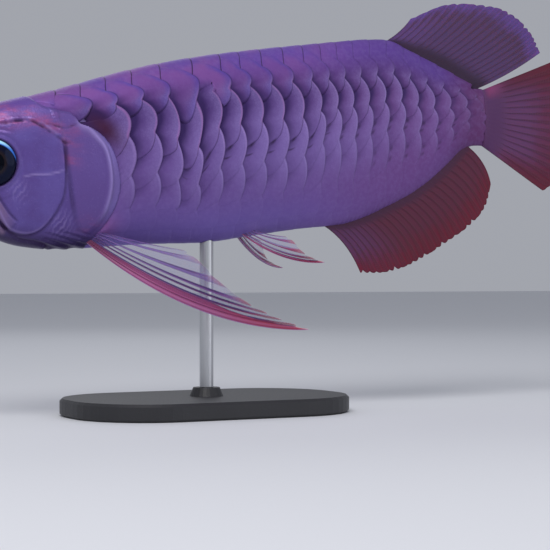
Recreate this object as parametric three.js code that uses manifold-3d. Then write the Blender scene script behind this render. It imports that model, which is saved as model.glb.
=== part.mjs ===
// An Asian arowana as a life-size display model, swimming level above a small stand.
// Millimetres, +Z up. The head points along -X and the left flank faces -Y.
// The origin is the middle of the stand's underside.
import * as THREE from "three";
import { mergeVertices } from "three/addons/utils/BufferGeometryUtils.js";
import Module from "manifold-3d";

const wasm = await Module();
wasm.setup();

// Clear space kept between neighbouring pieces.
const GAP = 0.3;
const LEFT = -1;
const RIGHT = 1;

// Body outline at stations from snout to caudal base: x, back height, belly height, half width.
const BODY_STATIONS = [
  [-168.0, 155.4, 152.2, 1.6],
  [-166.5, 159.0, 147.2, 5.6],
  [-163.0, 161.6, 140.6, 8.8],
  [-157.0, 164.2, 131.4, 11.4],
  [-148.0, 167.2, 119.0, 13.8],
  [-138.0, 170.2, 107.6, 15.8],
  [-125.0, 174.0, 98.6, 18.2],
  [-112.0, 177.6, 95.4, 20.2],
  [-97.0, 181.8, 94.2, 21.6],
  [-80.0, 187.0, 94.6, 22.4],
  [-60.0, 193.2, 96.2, 22.6],
  [-36.0, 199.8, 97.6, 22.2],
  [-4.0, 206.8, 98.6, 21.4],
  [28.0, 212.3, 102.9, 20.0],
  [62.0, 217.4, 107.6, 17.6],
  [90.0, 221.4, 110.4, 14.8],
  [104.0, 223.3, 114.2, 13.2],
  [121.0, 224.3, 121.0, 11.3],
  [140.0, 218.4, 129.8, 9.2],
  [155.0, 213.0, 139.4, 7.7],
  [168.0, 208.0, 150.0, 6.5],
  [178.0, 203.8, 158.4, 5.7],
  [187.0, 200.2, 161.4, 5.0],
  [197.0, 197.6, 161.2, 4.4],
];
const SNOUT_X = -168;
const TAIL_X = 197;

// Section shape: how far down the widest level lies, and the superellipse powers above and below it.
const WIDEST_SHARE = [[-168, 0.5], [-135, 0.42], [-60, 0.47], [197, 0.48]];
const TOP_POWER = [[-168, 2.2], [-140, 2.8], [-90, 2.6], [-20, 2.3], [197, 2.0]];
const BOTTOM_POWER = [[-168, 2.2], [-110, 2.1], [-40, 1.9], [197, 1.85]];

// Rows of large scales: the angles from the back where the rows of one flank meet.
const ROW_ENDS = [40, 57, 82, 106, 128.5, 151];
const STEPS_PER_ROW = 4;
// Columns of scales: the station that each column's free edge reaches on the flank and on the back.
const FIRST_COLUMN = -2;
const LAST_COLUMN = 19;
const TRUNK_LAST_COLUMN = 10;
const SIDE_COLUMNS = [
  [-4, -115], [-1, -69], [0, -53.5], [1, -37.5], [3, -12], [8, 58.1], [12, 105.5], [18, 181.3], [20, 207],
];
const BACK_COLUMNS = [
  [-4, -123.5], [0, -66], [2, -32.8], [3, -12.6], [5, 5.7], [9, 60.8], [12, 96], [18, 172], [20, 199],
];
// The edges swing from the back stations to the flank stations between these angles.
const EDGE_SWING = [30, 92];
// How far each scale bulges back, as a share of the pitch, on the flank and below the last of these angles.
const SCALLOP = { flank: 0.25, belly: 0.15, from: 95, to: 115 };
const SCALE_RELIEF = [[-80, 1.25], [60, 1.0], [197, 0.6]];
const BACK_RELIEF = { share: 0.45, from: 48, to: 66 };
const NOTCH_DEPTH = 0.6;
const EDGE_STEP = 0.35;

// Head and trunk part along the rear edge of the gill cover, from the nape to the throat: x, z.
const GILL_EDGE = [
  [-99, 186], [-93, 175], [-84, 165], [-74.5, 157.6], [-67.3, 148.9], [-63.2, 136], [-62.4, 127],
  [-63.8, 118.6], [-67.3, 110.3], [-74, 103], [-80, 98.5], [-86, 90],
];
const GILL_COVER_FRONT = [
  [-84, 168], [-92, 160], [-96.4, 150], [-93.7, 137.6], [-91.8, 127.3], [-89.4, 116.7], [-86.5, 107.8],
  [-81, 99],
];
const GILL_COVER_BEHIND = [[-40, 92], [-40, 168]];
const GILL_COVER_INNER_Y = 9;
const HEAD_RINGS = 28;
const HEAD_CROWDING = 1.7;
const GILL_RIDGE = [[-83.4, 162], [-78.2, 156.8], [-72.3, 149.5], [-69, 137.7], [-68.4, 126.7], [-71, 114], [-76, 105.5]];
const GILL_RIDGE_RADIUS = 1.8;
const MOUTH_LINE = [[-172, 158], [-166, 154.8], [-158, 146.2], [-148, 133.8], [-138, 120.6], [-130, 109.6], [-123, 103]];
const JAW_REAR = [[-116, 101.2], [-108, 100], [-103, 96], [-101, 88]];
const JAW_TOP = 175;
const MAXILLA = [[-163.2, 155.6], [-156, 148], [-146, 136], [-136, 122.4], [-129, 112], [-124.6, 106]];
const MAXILLA_RADII = [2.2, 3.4];
const CHEEK_GROOVES = [
  [[-95.1, 150], [-95.1, 136], [-95.6, 123.4], [-100, 114], [-105, 107], [-111, 103.4], [-117, 103]],
  [[-119.5, 133], [-106.6, 134.7], [-96.2, 137]],
  [[-129, 160], [-114.3, 163], [-103, 158.4], [-97.2, 153.8]],
];

// The eye looks out along the skin's normal, its widest circle sunk just under the skin.
const EYE = {
  x: -134.2, z: 140, radius: 12.6, sink: 1, front: 4.4, rear: 8, rim: 1.1, rimOut: 0.6, rimSink: 0.66,
};
const NOSTRIL = { x: -161, z: 158.5, radius: 1.3, length: 2.6, pit: 0.7 };
const BARBEL = {
  path: [[-162, 4.5, 149.5], [-172, 5.6, 147.6], [-184, 7.6, 149.6], [-195, 10, 155.4], [-204, 12.5, 163.5]],
  root: 1.4,
  tip: 0.45,
};

// Median fins. Base ends are stations on the back or belly line, and tips are x, z from first ray to last.
const WEB = 0.55;
const DORSAL = {
  rays: 20,
  baseX: [122, 191.5],
  tips: [[140, 238.5], [166, 249], [189, 251], [209, 249], [224, 242], [234, 233], [239, 223.5]],
  bow: 1.5,
};
const ANAL = {
  rays: 26,
  baseX: [77, 181],
  tips: [[104, 81.3], [120, 81.6], [136, 85.3], [152, 92.3], [168, 101], [184, 111.3], [195, 123], [199.8, 137.5]],
  bow: -4,
};
const CAUDAL = { rays: 16, centre: [204, 179], radius: 61, top: 42, bottom: -50, corner: 0.05, inset: 0.6 };
const SUNK = 5;

// Reach of the blocks that part the head: half their width, their front, and their lowest and highest level.
const BLOCK = { y: 80, front: -260, low: 60, high: 230 };

// Paired fins of the left side: base ends, one tip for each ray, and the droop of first and last ray.
const PECTORAL = {
  base: [[-76.5, -7.5, 98.8], [-71, -11.5, 104.2]],
  tips: [
    [26.2, -75, 50.1], [18, -73, 53], [10, -71, 56], [3.2, -68, 59.5],
    [-5.1, -64, 64.4], [-18.1, -55, 76.1], [-27.3, -46, 88.2], [-32, -38, 93.6],
  ],
  sag: [13.3, 1],
  rootThickness: 3.4,
  rayThickness: 1.9,
  rightRaise: 50,
};
const PELVIC = {
  base: [[22, -4.5, 104.2], [28.5, -6.5, 106.4]],
  tips: [[63.5, -27, 87.4], [56.6, -26, 89.7], [50.7, -24, 93.4], [46.7, -20, 99.4], [43.6, -16, 102.4]],
  sag: [5.5, 1],
  rootThickness: 2.4,
  rayThickness: 1.5,
  rightRaise: -8,
};

const STAND = { length: 170, width: 104, thickness: 10, corner: 46, bossRadius: 11, bossHeight: 5, rodX: 0, rodRadius: 4 };

// A smooth curve through x, y pairs that never overshoots them.
function curveThrough(pairs) {
  const slopes = pairs.slice(1).map(([x, y], i) => (y - pairs[i][1]) / (x - pairs[i][0]));
  const tangents = pairs.map((_, i) => {
    const before = slopes[Math.max(i - 1, 0)];
    const after = slopes[Math.min(i, slopes.length - 1)];
    return before * after <= 0 ? 0 : (2 * before * after) / (before + after);
  });
  return (x) => {
    if (x <= pairs[0][0]) return pairs[0][1];
    const found = pairs.findIndex(([end]) => end >= x);
    if (found < 0) return pairs[pairs.length - 1][1];
    const i = found - 1;
    const span = pairs[found][0] - pairs[i][0];
    const t = (x - pairs[i][0]) / span;
    const rise = pairs[found][1] - pairs[i][1];
    const start = tangents[i] * span;
    const end = tangents[found] * span;
    return pairs[i][1] + t * (start + t * (3 * rise - 2 * start - end + t * (start + end - 2 * rise)));
  };
}

// A body line, drawn against the square root of the distance from the snout so that the snout is round.
function bodyLine(n) {
  const root = (x) => Math.sqrt(Math.max(0, x - SNOUT_X));
  const curve = curveThrough(BODY_STATIONS.map((row) => [root(row[0]), row[n]]));
  return (x) => curve(root(x));
}

const backLine = bodyLine(1);
const bellyLine = bodyLine(2);
const halfWidth = bodyLine(3);
const widestShare = curveThrough(WIDEST_SHARE);
const topPower = curveThrough(TOP_POWER);
const bottomPower = curveThrough(BOTTOM_POWER);
const scaleRelief = curveThrough(SCALE_RELIEF);
const sideColumn = curveThrough(SIDE_COLUMNS);
const backColumn = curveThrough(BACK_COLUMNS);
const mix = THREE.MathUtils.lerp;
const radians = THREE.MathUtils.degToRad;
const smooth = THREE.MathUtils.smoothstep;
const vector = (p) => new THREE.Vector3(...p);

// The half section at station x: two quarter superellipses that meet at the widest level.
function section(x, above) {
  const back = backLine(x);
  const depth = back - bellyLine(x);
  const share = widestShare(x);
  return {
    middle: back - depth * share,
    reach: above ? depth * share : depth * (1 - share),
    half: halfWidth(x),
    power: above ? topPower(x) : bottomPower(x),
  };
}

// A skin point of one side from its share across and share up, moved out by lift along the section's normal.
function lifted(x, side, s, across, up, lift) {
  const outY = Math.pow(across, s.power - 1) / s.half;
  const outZ = (Math.sign(up) * Math.pow(Math.abs(up), s.power - 1)) / s.reach;
  const length = Math.hypot(outY, outZ);
  const y = s.half * across + (lift * outY) / length;
  return new THREE.Vector3(x, side * y, s.middle + s.reach * up + (lift * outZ) / length);
}

// The skin at an angle in degrees round the section, 0 on the back and 180 on the belly.
function skinAtAngle(x, angle, side, lift = 0) {
  const c = Math.cos(radians(angle));
  const s = section(x, c >= 0);
  const across = Math.pow(Math.abs(Math.sin(radians(angle))), 2 / s.power);
  return lifted(x, side, s, across, Math.sign(c) * Math.pow(Math.abs(c), 2 / s.power), lift);
}

// The skin at height z, as seen from the side.
function skinAtHeight(x, z, side, lift = 0) {
  const above = z >= section(x, true).middle;
  const s = section(x, above);
  const up = THREE.MathUtils.clamp((z - s.middle) / s.reach, -0.999, 0.999);
  return lifted(x, side, s, Math.pow(1 - Math.pow(Math.abs(up), s.power), 1 / s.power), up, lift);
}

// A closed solid from points and triangles, turned the right way out.
function solidOf(points, triangles) {
  const vertProperties = new Float32Array(points.flatMap((p) => [p.x, p.y, p.z]));
  const make = (triVerts) => new wasm.Manifold(new wasm.Mesh({ numProp: 3, vertProperties, triVerts }));
  const made = make(new Uint32Array(triangles));
  return made.volume() > 0 ? made : make(new Uint32Array(triangles).reverse());
}

// A three.js geometry as a solid.
function solidOfGeometry(geometry) {
  const bare = geometry.clone();
  bare.deleteAttribute("normal");
  bare.deleteAttribute("uv");
  const merged = mergeVertices(bare, 1e-4);
  const position = merged.getAttribute("position");
  const points = Array.from({ length: position.count }, (_, i) => new THREE.Vector3().fromBufferAttribute(position, i));
  return solidOf(points, Array.from(merged.index.array));
}

// Rings of equally many points joined into one closed solid, with a fan over each end.
function loft(rings) {
  const count = rings[0].length;
  const points = rings.flat();
  const triangles = [];
  for (let i = 0; i < rings.length - 1; i++) {
    for (let k = 0; k < count; k++) {
      const a = i * count + k;
      const b = i * count + ((k + 1) % count);
      triangles.push(a, b, a + count, b, b + count, a + count);
    }
  }
  for (const [ring, first, turn] of [[rings[0], 0, 1], [rings.at(-1), points.length - count, 0]]) {
    const centre = ring.reduce((sum, p) => sum.add(p), new THREE.Vector3()).divideScalar(count);
    const middle = points.push(centre) - 1;
    for (let k = 0; k < count; k++) {
      const edge = [first + k, first + ((k + 1) % count)];
      triangles.push(edge[turn], edge[1 - turn], middle);
    }
  }
  return solidOf(points, triangles);
}

// The largest closed surface of a solid, without the scraps that a cut leaves.
function largest(solid) {
  return solid.decompose().sort((a, b) => b.volume() - a.volume())[0];
}

// A side outline of x, z points pushed through the body from y = low to y = high.
function sideBlock(outline, low, high) {
  const shape = new THREE.Shape(outline.map(([x, z]) => new THREE.Vector2(x, z)));
  const geometry = new THREE.ExtrudeGeometry(shape, { depth: high - low, bevelEnabled: false });
  return solidOfGeometry(geometry.rotateX(Math.PI / 2).translate(0, high, 0));
}

// A smooth line through x, z points, as many short steps.
function sidePath(points, steps) {
  return new THREE.SplineCurve(points.map(([x, z]) => new THREE.Vector2(x, z))).getSpacedPoints(steps);
}

// The same line moved sideways by a distance.
function offsetPath(path, distance) {
  return path.map((p, i) => {
    const along = path[Math.min(i + 1, path.length - 1)].clone().sub(path[Math.max(i - 1, 0)]).normalize();
    return [p.x - along.y * distance, p.y + along.x * distance];
  });
}

// A strip that follows a line on the skin. Its profile is pairs of share across and lift.
function skinStrip(side, points, steps, profile, widthAt) {
  const path = sidePath(points, steps);
  const rings = path.map((p, i) => {
    const along = path[Math.min(i + 1, steps)].clone().sub(path[Math.max(i - 1, 0)]).normalize();
    const half = widthAt(i / steps);
    return profile.map(([across, lift]) =>
      skinAtHeight(p.x - along.y * across * half, p.y + along.x * across * half, side, lift));
  });
  return loft(rings);
}

const GROOVE_PROFILE = [[-1, 0.7], [0, -0.9], [1, 0.7]];
const RIDGE_PROFILE = [[-1, -1.6], [-0.9, 0.05], [0, 0.9], [0.9, 0.05], [1, -1.6]];

function groove(side, points, half = 1.1, steps = 8) {
  return skinStrip(side, points, steps, GROOVE_PROFILE, () => half);
}

function ridge(side, points, widthAt, steps = 8) {
  return skinStrip(side, points, steps, RIDGE_PROFILE, widthAt);
}

// Angles round one half section for smooth skin, and a whole ring of skin points.
function ringAt(x, angles, lift, skin = skinAtAngle) {
  const left = angles.map((angle) => skin(x, angle, LEFT, lift));
  const right = angles.slice(1, -1).reverse().map((angle) => skin(x, angle, RIGHT, lift));
  return [...left, ...right];
}

function smoothBody(fromX, toX, rings, perSide, lift, crowding = 1) {
  const angles = Array.from({ length: perSide + 1 }, (_, k) => (180 * k) / perSide);
  const made = [];
  for (let i = 0; i <= rings; i++) {
    made.push(ringAt(mix(fromX, toX, Math.pow(i / rings, crowding)), angles, lift));
  }
  return loft(made);
}

// The angles that the scale rows are drawn with: half a row on the back, five on the flank, half on the belly.
function rowAngles() {
  const angles = [0, ROW_ENDS[0] / 2, ROW_ENDS[0]];
  for (let row = 1; row < ROW_ENDS.length; row++) {
    for (let k = 1; k <= STEPS_PER_ROW; k++) angles.push(mix(ROW_ENDS[row - 1], ROW_ENDS[row], k / STEPS_PER_ROW));
  }
  angles.push((ROW_ENDS.at(-1) + 180) / 2, 180);
  return angles;
}

// How far an angle lies across its scale row, from 0 at one notch to 1 at the next.
function rowShare(angle) {
  if (angle <= ROW_ENDS[0]) return 0.5 + (0.5 * angle) / ROW_ENDS[0];
  if (angle >= ROW_ENDS.at(-1)) return (0.5 * (angle - ROW_ENDS.at(-1))) / (180 - ROW_ENDS.at(-1));
  const row = ROW_ENDS.findIndex((end) => end >= angle);
  return (angle - ROW_ENDS[row - 1]) / (ROW_ENDS[row] - ROW_ENDS[row - 1]);
}

const dome = (angle) => 1 - Math.pow(2 * rowShare(angle) - 1, 2);

// Station of the free rear edge of a scale column at an angle, drawn back at each notch between two rows.
function columnEdge(index, angle) {
  const reach = mix(backColumn(index), sideColumn(index), smooth(angle, ...EDGE_SWING));
  const scallop = mix(SCALLOP.flank, SCALLOP.belly, smooth(angle, SCALLOP.from, SCALLOP.to));
  const pitch = sideColumn(index) - sideColumn(index - 1);
  return Math.min(reach - scallop * pitch * (1 - dome(angle)), TAIL_X - 1);
}

// How far a free edge stands over the next scale. The two rows nearest the back lie almost flat.
function stepHeight(x, angle) {
  return scaleRelief(x) * mix(BACK_RELIEF.share, 1, smooth(angle, BACK_RELIEF.from, BACK_RELIEF.to));
}

// Skin covered in overlapping scales from one column to another, each column rising from its root to its free edge.
function scaledBody(firstColumn, lastColumn, frontGap) {
  const angles = rowAngles();
  const rings = [];
  for (let i = firstColumn; i <= lastColumn; i++) {
    const gap = i === firstColumn ? frontGap : 0;
    const root = (_, angle, side) => {
      const x = columnEdge(i - 1, angle) + EDGE_STEP + gap;
      return skinAtAngle(x, angle, side, -stepHeight(x, angle));
    };
    const edge = (_, angle, side) => {
      const x = columnEdge(i, angle);
      return skinAtAngle(x, angle, side, -NOTCH_DEPTH * stepHeight(x, angle) * (1 - dome(angle)));
    };
    rings.push(ringAt(0, angles, 0, root), ringAt(0, angles, 0, edge));
  }
  if (lastColumn === LAST_COLUMN) {
    rings.push(ringAt(TAIL_X, angles, -scaleRelief(TAIL_X)));
  }
  return loft(rings);
}

// One closed sheet. Even lines along it are rays and odd lines the web between them.
function finSheet({ rays, steps, point, thickness }) {
  const lines = 2 * rays - 1;
  const front = [];
  const back = [];
  const nudge = 1e-3;
  for (let l = 0; l < lines; l++) {
    for (let j = 0; j <= steps; j++) {
      const s = l / (lines - 1);
      const isRay = l % 2 === 0;
      const t = (j / steps) * (isRay ? 1 : 1 - WEB_NOTCH);
      const here = point(s, t);
      const alongS = point(Math.min(s + nudge, 1), t).sub(point(Math.max(s - nudge, 0), t));
      const alongT = point(s, Math.min(t + nudge, 1)).sub(point(s, Math.max(t - nudge, 0)));
      const out = alongS.cross(alongT).normalize().multiplyScalar(thickness(s, t, isRay) / 2);
      front.push(here.clone().add(out));
      back.push(here.clone().sub(out));
    }
  }
  const at = (l, j) => l * (steps + 1) + j;
  const triangles = [];
  const other = front.length;
  for (let l = 0; l < lines - 1; l++) {
    for (let j = 0; j < steps; j++) {
      const [a, b, c, d] = [at(l, j), at(l + 1, j), at(l + 1, j + 1), at(l, j + 1)];
      triangles.push(a, b, c, a, c, d, other + a, other + c, other + b, other + a, other + d, other + c);
    }
  }
  const rim = [];
  for (let l = 0; l < lines - 1; l++) rim.push(at(l, 0));
  for (let j = 0; j < steps; j++) rim.push(at(lines - 1, j));
  for (let l = lines - 1; l > 0; l--) rim.push(at(l, steps));
  for (let j = steps; j > 0; j--) rim.push(at(0, j));
  rim.forEach((a, i) => {
    const b = rim[(i + 1) % rim.length];
    triangles.push(a, other + a, b, b, other + a, other + b);
  });
  return solidOf([...front, ...back], triangles);
}

const WEB_NOTCH = 0.035;

// Thickness of a fin: a fleshy root that thins out, raised rays that taper, and the web between.
function finThickness(root, ray, fleshy) {
  return (s, t, isRay) => {
    const flesh = Math.pow(Math.max(0, 1 - t / fleshy), 2) * (typeof root === "function" ? root(s) : root);
    return Math.max(flesh, isRay ? mix(ray, WEB, t) : WEB);
  };
}

// A fin on the back or belly line, between two stations, sunk into the body at its root.
function medianFin({ rays, baseX, tips, bow }, line, steps) {
  const tipCurve = new THREE.SplineCurve(tips.map(([x, z]) => new THREE.Vector2(x, z)));
  const point = (s, t) => {
    const x = mix(baseX[0], baseX[1], s);
    const tip = tipCurve.getPoint(s);
    const along = new THREE.Vector2(tip.x - x, tip.y - line(x));
    const sunk = along.clone().normalize().multiplyScalar(-SUNK);
    const base = new THREE.Vector2(x + sunk.x, line(x) + sunk.y);
    const here = base.lerp(tip, t);
    const aside = 4 * bow * t * (1 - t);
    here.addScaledVector(new THREE.Vector2(along.y, -along.x).normalize(), aside);
    return new THREE.Vector3(here.x, 0, here.y);
  };
  return finSheet({ rays, steps, point, thickness: finThickness(4.4, 1.3, 0.34) });
}

function caudalFin(steps) {
  const { rays, centre, radius, top, bottom, corner, inset } = CAUDAL;
  const rootHeight = backLine(TAIL_X) - bellyLine(TAIL_X) - 2 * inset;
  const rootTop = backLine(TAIL_X) - inset;
  const point = (s, t) => {
    const angle = radians(mix(top, bottom, s));
    const reach = radius * (1 - corner * Math.pow(Math.abs(2 * s - 1), 6));
    const tip = new THREE.Vector3(centre[0] + reach * Math.cos(angle), 0, centre[1] + reach * Math.sin(angle));
    return new THREE.Vector3(TAIL_X + GAP, 0, rootTop - rootHeight * s).lerp(tip, t);
  };
  const root = (s) => 1.4 + 2 * halfWidth(TAIL_X) * Math.sqrt(Math.max(0, 1 - Math.pow(2 * s - 1, 2)));
  return finSheet({ rays, steps, point, thickness: finThickness(root, 1.4, 0.4) });
}

// A pectoral or pelvic fin, sunk into the body at its root. The right one is mirrored and turned about its root.
function pairedFin({ base, tips, sag, rootThickness, rayThickness, rightRaise }, side, steps) {
  const tipCurve = new THREE.CatmullRomCurve3(tips.map(vector));
  const turn = side === RIGHT ? radians(rightRaise) : 0;
  const point = (s, t) => {
    const start = vector(base[0]).lerp(vector(base[1]), s);
    const tip = tipCurve.getPoint(s);
    start.addScaledVector(tip.clone().sub(start).normalize(), -SUNK);
    const here = start.lerp(tip, t);
    here.z -= 4 * mix(sag[1], sag[0], (1 - s) * (1 - s)) * t * (1 - t);
    here.y *= -side;
    const root = new THREE.Vector3(0, side * Math.abs(base[0][1]), base[0][2]);
    return here.sub(root).applyAxisAngle(new THREE.Vector3(1, 0, 0), turn).add(root);
  };
  return finSheet({ rays: tips.length, steps, point, thickness: finThickness(rootThickness, rayThickness, 0.2) });
}

// A round tapering whisker along a curve.
function barbel(side) {
  const curve = new THREE.CatmullRomCurve3(BARBEL.path.map(([x, y, z]) => new THREE.Vector3(x, side * y, z)));
  const steps = 12;
  const sides = 8;
  const frames = curve.computeFrenetFrames(steps);
  const rings = [];
  for (let i = 0; i <= steps; i++) {
    const centre = curve.getPointAt(i / steps);
    const radius = mix(BARBEL.root, BARBEL.tip, i / steps);
    rings.push(Array.from({ length: sides }, (_, k) => {
      const angle = (2 * Math.PI * k) / sides;
      return centre.clone()
        .addScaledVector(frames.normals[i], radius * Math.cos(angle))
        .addScaledVector(frames.binormals[i], radius * Math.sin(angle));
    }));
  }
  return loft(rings);
}

// The skin's outward direction at the eye: across two short steps along the skin.
function eyeAxis(side) {
  const step = 6;
  const along = skinAtHeight(EYE.x + step, EYE.z, side).sub(skinAtHeight(EYE.x - step, EYE.z, side));
  const up = skinAtHeight(EYE.x, EYE.z + step, side).sub(skinAtHeight(EYE.x, EYE.z - step, side));
  return along.cross(up).multiplyScalar(-side).normalize();
}

// Sets a shape whose axis is +Y over the eye's place, pushed in by a depth.
function atEye(geometry, side, depth) {
  const axis = eyeAxis(side);
  geometry.applyQuaternion(new THREE.Quaternion().setFromUnitVectors(new THREE.Vector3(0, 1, 0), axis));
  const place = skinAtHeight(EYE.x, EYE.z, side).addScaledVector(axis, -depth);
  return solidOfGeometry(geometry.translate(place.x, place.y, place.z));
}

function eyeball(side, grown) {
  const geometry = new THREE.SphereGeometry(1, 18, 10);
  const position = geometry.getAttribute("position");
  for (let i = 0; i < position.count; i++) {
    const depth = position.getY(i) > 0 ? EYE.front : EYE.rear;
    position.setY(i, position.getY(i) * (depth + grown));
  }
  geometry.scale(EYE.radius + grown, 1, EYE.radius + grown);
  return atEye(geometry, side, EYE.sink);
}

function eyeRim(side) {
  const geometry = new THREE.TorusGeometry(EYE.radius + EYE.rimOut, EYE.rim, 5, 18).rotateX(Math.PI / 2);
  return atEye(geometry, side, EYE.rimSink);
}

function nostrilTube(side, radius, sink) {
  const root = skinAtHeight(NOSTRIL.x, NOSTRIL.z, side);
  const out = skinAtHeight(NOSTRIL.x, NOSTRIL.z, side, 1).sub(root).add(new THREE.Vector3(-0.8, 0, 0)).normalize();
  const geometry = new THREE.CylinderGeometry(radius, radius * 1.25, NOSTRIL.length + sink, 10);
  geometry.applyQuaternion(new THREE.Quaternion().setFromUnitVectors(new THREE.Vector3(0, 1, 0), out));
  const middle = root.addScaledVector(out, (NOSTRIL.length - sink) / 2);
  return solidOfGeometry(geometry.translate(middle.x, middle.y, middle.z));
}

// Everything in front of the gill edge, moved back by a shift.
function frontBlock(shift) {
  const edge = sidePath(GILL_EDGE, 18).map((p) => [p.x + shift, p.y]);
  return sideBlock([...edge, [BLOCK.front, BLOCK.low], [BLOCK.front, BLOCK.high]], -BLOCK.y, BLOCK.y);
}

function jawBlock(grown) {
  const edge = offsetPath(sidePath([...MOUTH_LINE, ...JAW_REAR], 20), grown);
  const under = [[JAW_REAR[3][0], BLOCK.low], [BLOCK.front, BLOCK.low], [BLOCK.front, JAW_TOP]];
  return sideBlock([...edge, ...under], -BLOCK.y, BLOCK.y);
}

function gillCoverBlock(side, grown) {
  const front = offsetPath(sidePath(GILL_COVER_FRONT, 14), -grown);
  const inner = GILL_COVER_INNER_Y - grown;
  const [low, high] = side === RIGHT ? [inner, BLOCK.y] : [-BLOCK.y, -inner];
  return sideBlock([...front, ...GILL_COVER_BEHIND], low, high);
}

// Head, lower jaw and gill covers: one smooth form, carved and raised, and then parted.
function headPieces() {
  let whole = smoothBody(SNOUT_X, -55, HEAD_RINGS, 20, 0, HEAD_CROWDING);
  for (const side of [LEFT, RIGHT]) {
    whole = whole.add(ridge(side, MAXILLA, (t) => mix(...MAXILLA_RADII, t)));
    whole = whole.add(ridge(side, GILL_RIDGE, () => GILL_RIDGE_RADIUS));
    whole = whole.add(eyeRim(side)).add(nostrilTube(side, NOSTRIL.radius, 2));
    whole = whole.subtract(nostrilTube(side, NOSTRIL.pit, 1));
    for (const line of CHEEK_GROOVES) whole = whole.subtract(groove(side, line));
    whole = whole.subtract(groove(side, MOUTH_LINE.slice(1), 1.2, 10));
    whole = whole.subtract(eyeball(side, GAP));
  }
  whole = whole.intersect(frontBlock(0)).simplify(0.15);
  const covers = [LEFT, RIGHT].map((side) => largest(whole.intersect(gillCoverBlock(side, 0))));
  let head = whole;
  for (const side of [LEFT, RIGHT]) head = head.subtract(gillCoverBlock(side, GAP));
  const jaw = largest(head.intersect(jawBlock(0)));
  head = largest(head.subtract(jawBlock(GAP)));
  return { head, jaw, covers };
}

function standBase() {
  const { length, width, thickness, corner, bossRadius, bossHeight, rodX } = STAND;
  const [x, y] = [length / 2, width / 2];
  const shape = new THREE.Shape();
  shape.moveTo(-x + corner, -y);
  shape.lineTo(x - corner, -y);
  shape.absarc(x - corner, -y + corner, corner, -Math.PI / 2, 0);
  shape.absarc(x - corner, y - corner, corner, 0, Math.PI / 2);
  shape.absarc(-x + corner, y - corner, corner, Math.PI / 2, Math.PI);
  shape.absarc(-x + corner, -y + corner, corner, Math.PI, 1.5 * Math.PI);
  const bevel = 1.5;
  const plate = new THREE.ExtrudeGeometry(shape, {
    depth: thickness - 2 * bevel, bevelThickness: bevel, bevelSize: bevel, bevelOffset: -bevel, bevelSegments: 1,
    curveSegments: 6,
  }).translate(0, 0, bevel);
  const sunk = 3;
  const boss = new THREE.CylinderGeometry(bossRadius * 0.7, bossRadius, bossHeight + sunk, 28).rotateX(Math.PI / 2);
  boss.translate(rodX, 0, thickness + (bossHeight - sunk) / 2);
  return solidOfGeometry(plate).add(solidOfGeometry(boss));
}

function standRod(body) {
  const foot = STAND.thickness + STAND.bossHeight + GAP;
  const head = bellyLine(STAND.rodX) + 8;
  const rod = new THREE.CylinderGeometry(STAND.rodRadius, STAND.rodRadius, head - foot, 24).rotateX(Math.PI / 2);
  return largest(solidOfGeometry(rod.translate(STAND.rodX, 0, (head + foot) / 2)).subtract(body));
}

// Finishes: colour, roughness and metalness of each kind of piece.
const FINISHES = {
  skin: [0x8570a8, 0.38, 0.25],
  head: [0x80689f, 0.35, 0.2],
  gill: [0x856ea4, 0.3, 0.3],
  fin: [0x74304f, 0.5, 0],
  ray: [0xa2608c, 0.45, 0],
  eye: [0x1c1c2c, 0.08, 0],
  whisker: [0x7a5a86, 0.5, 0],
  base: [0x2b2b2e, 0.45, 0],
  steel: [0xb9bcc0, 0.3, 1],
};

function meshOf(name, solid, finish) {
  const { numProp, vertProperties, triVerts } = solid.getMesh();
  const positions = new Float32Array((vertProperties.length / numProp) * 3);
  for (let i = 0; i < positions.length / 3; i++) {
    positions.set(vertProperties.subarray(i * numProp, i * numProp + 3), i * 3);
  }
  const geometry = new THREE.BufferGeometry();
  geometry.setAttribute("position", new THREE.BufferAttribute(positions, 3));
  geometry.setIndex(new THREE.BufferAttribute(new Uint32Array(triVerts), 1));
  geometry.computeVertexNormals();
  const [color, roughness, metalness] = FINISHES[finish];
  const mesh = new THREE.Mesh(geometry, new THREE.MeshStandardMaterial({ color, roughness, metalness }));
  mesh.name = name;
  return mesh;
}

const model = new THREE.Group();
const envelope = smoothBody(SNOUT_X, TAIL_X, 60, 20, GAP);
const snout = smoothBody(SNOUT_X, -55, HEAD_RINGS, 20, GAP, HEAD_CROWDING);
const chin = snout.add(snout.translate(-GAP, 0, 0));
const { head, jaw, covers } = headPieces();
model.add(meshOf("head", head, "head"), meshOf("lower_jaw", jaw, "head"));
model.add(meshOf("gill_cover_left", covers[0], "gill"), meshOf("gill_cover_right", covers[1], "gill"));

const trunk = largest(scaledBody(FIRST_COLUMN, TRUNK_LAST_COLUMN, 0).subtract(frontBlock(GAP)));
const tail = scaledBody(TRUNK_LAST_COLUMN + 1, LAST_COLUMN, GAP).subtract(trunk.translate(GAP, 0, 0));
model.add(meshOf("trunk", trunk, "skin"), meshOf("tail", largest(tail), "skin"));

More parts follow.
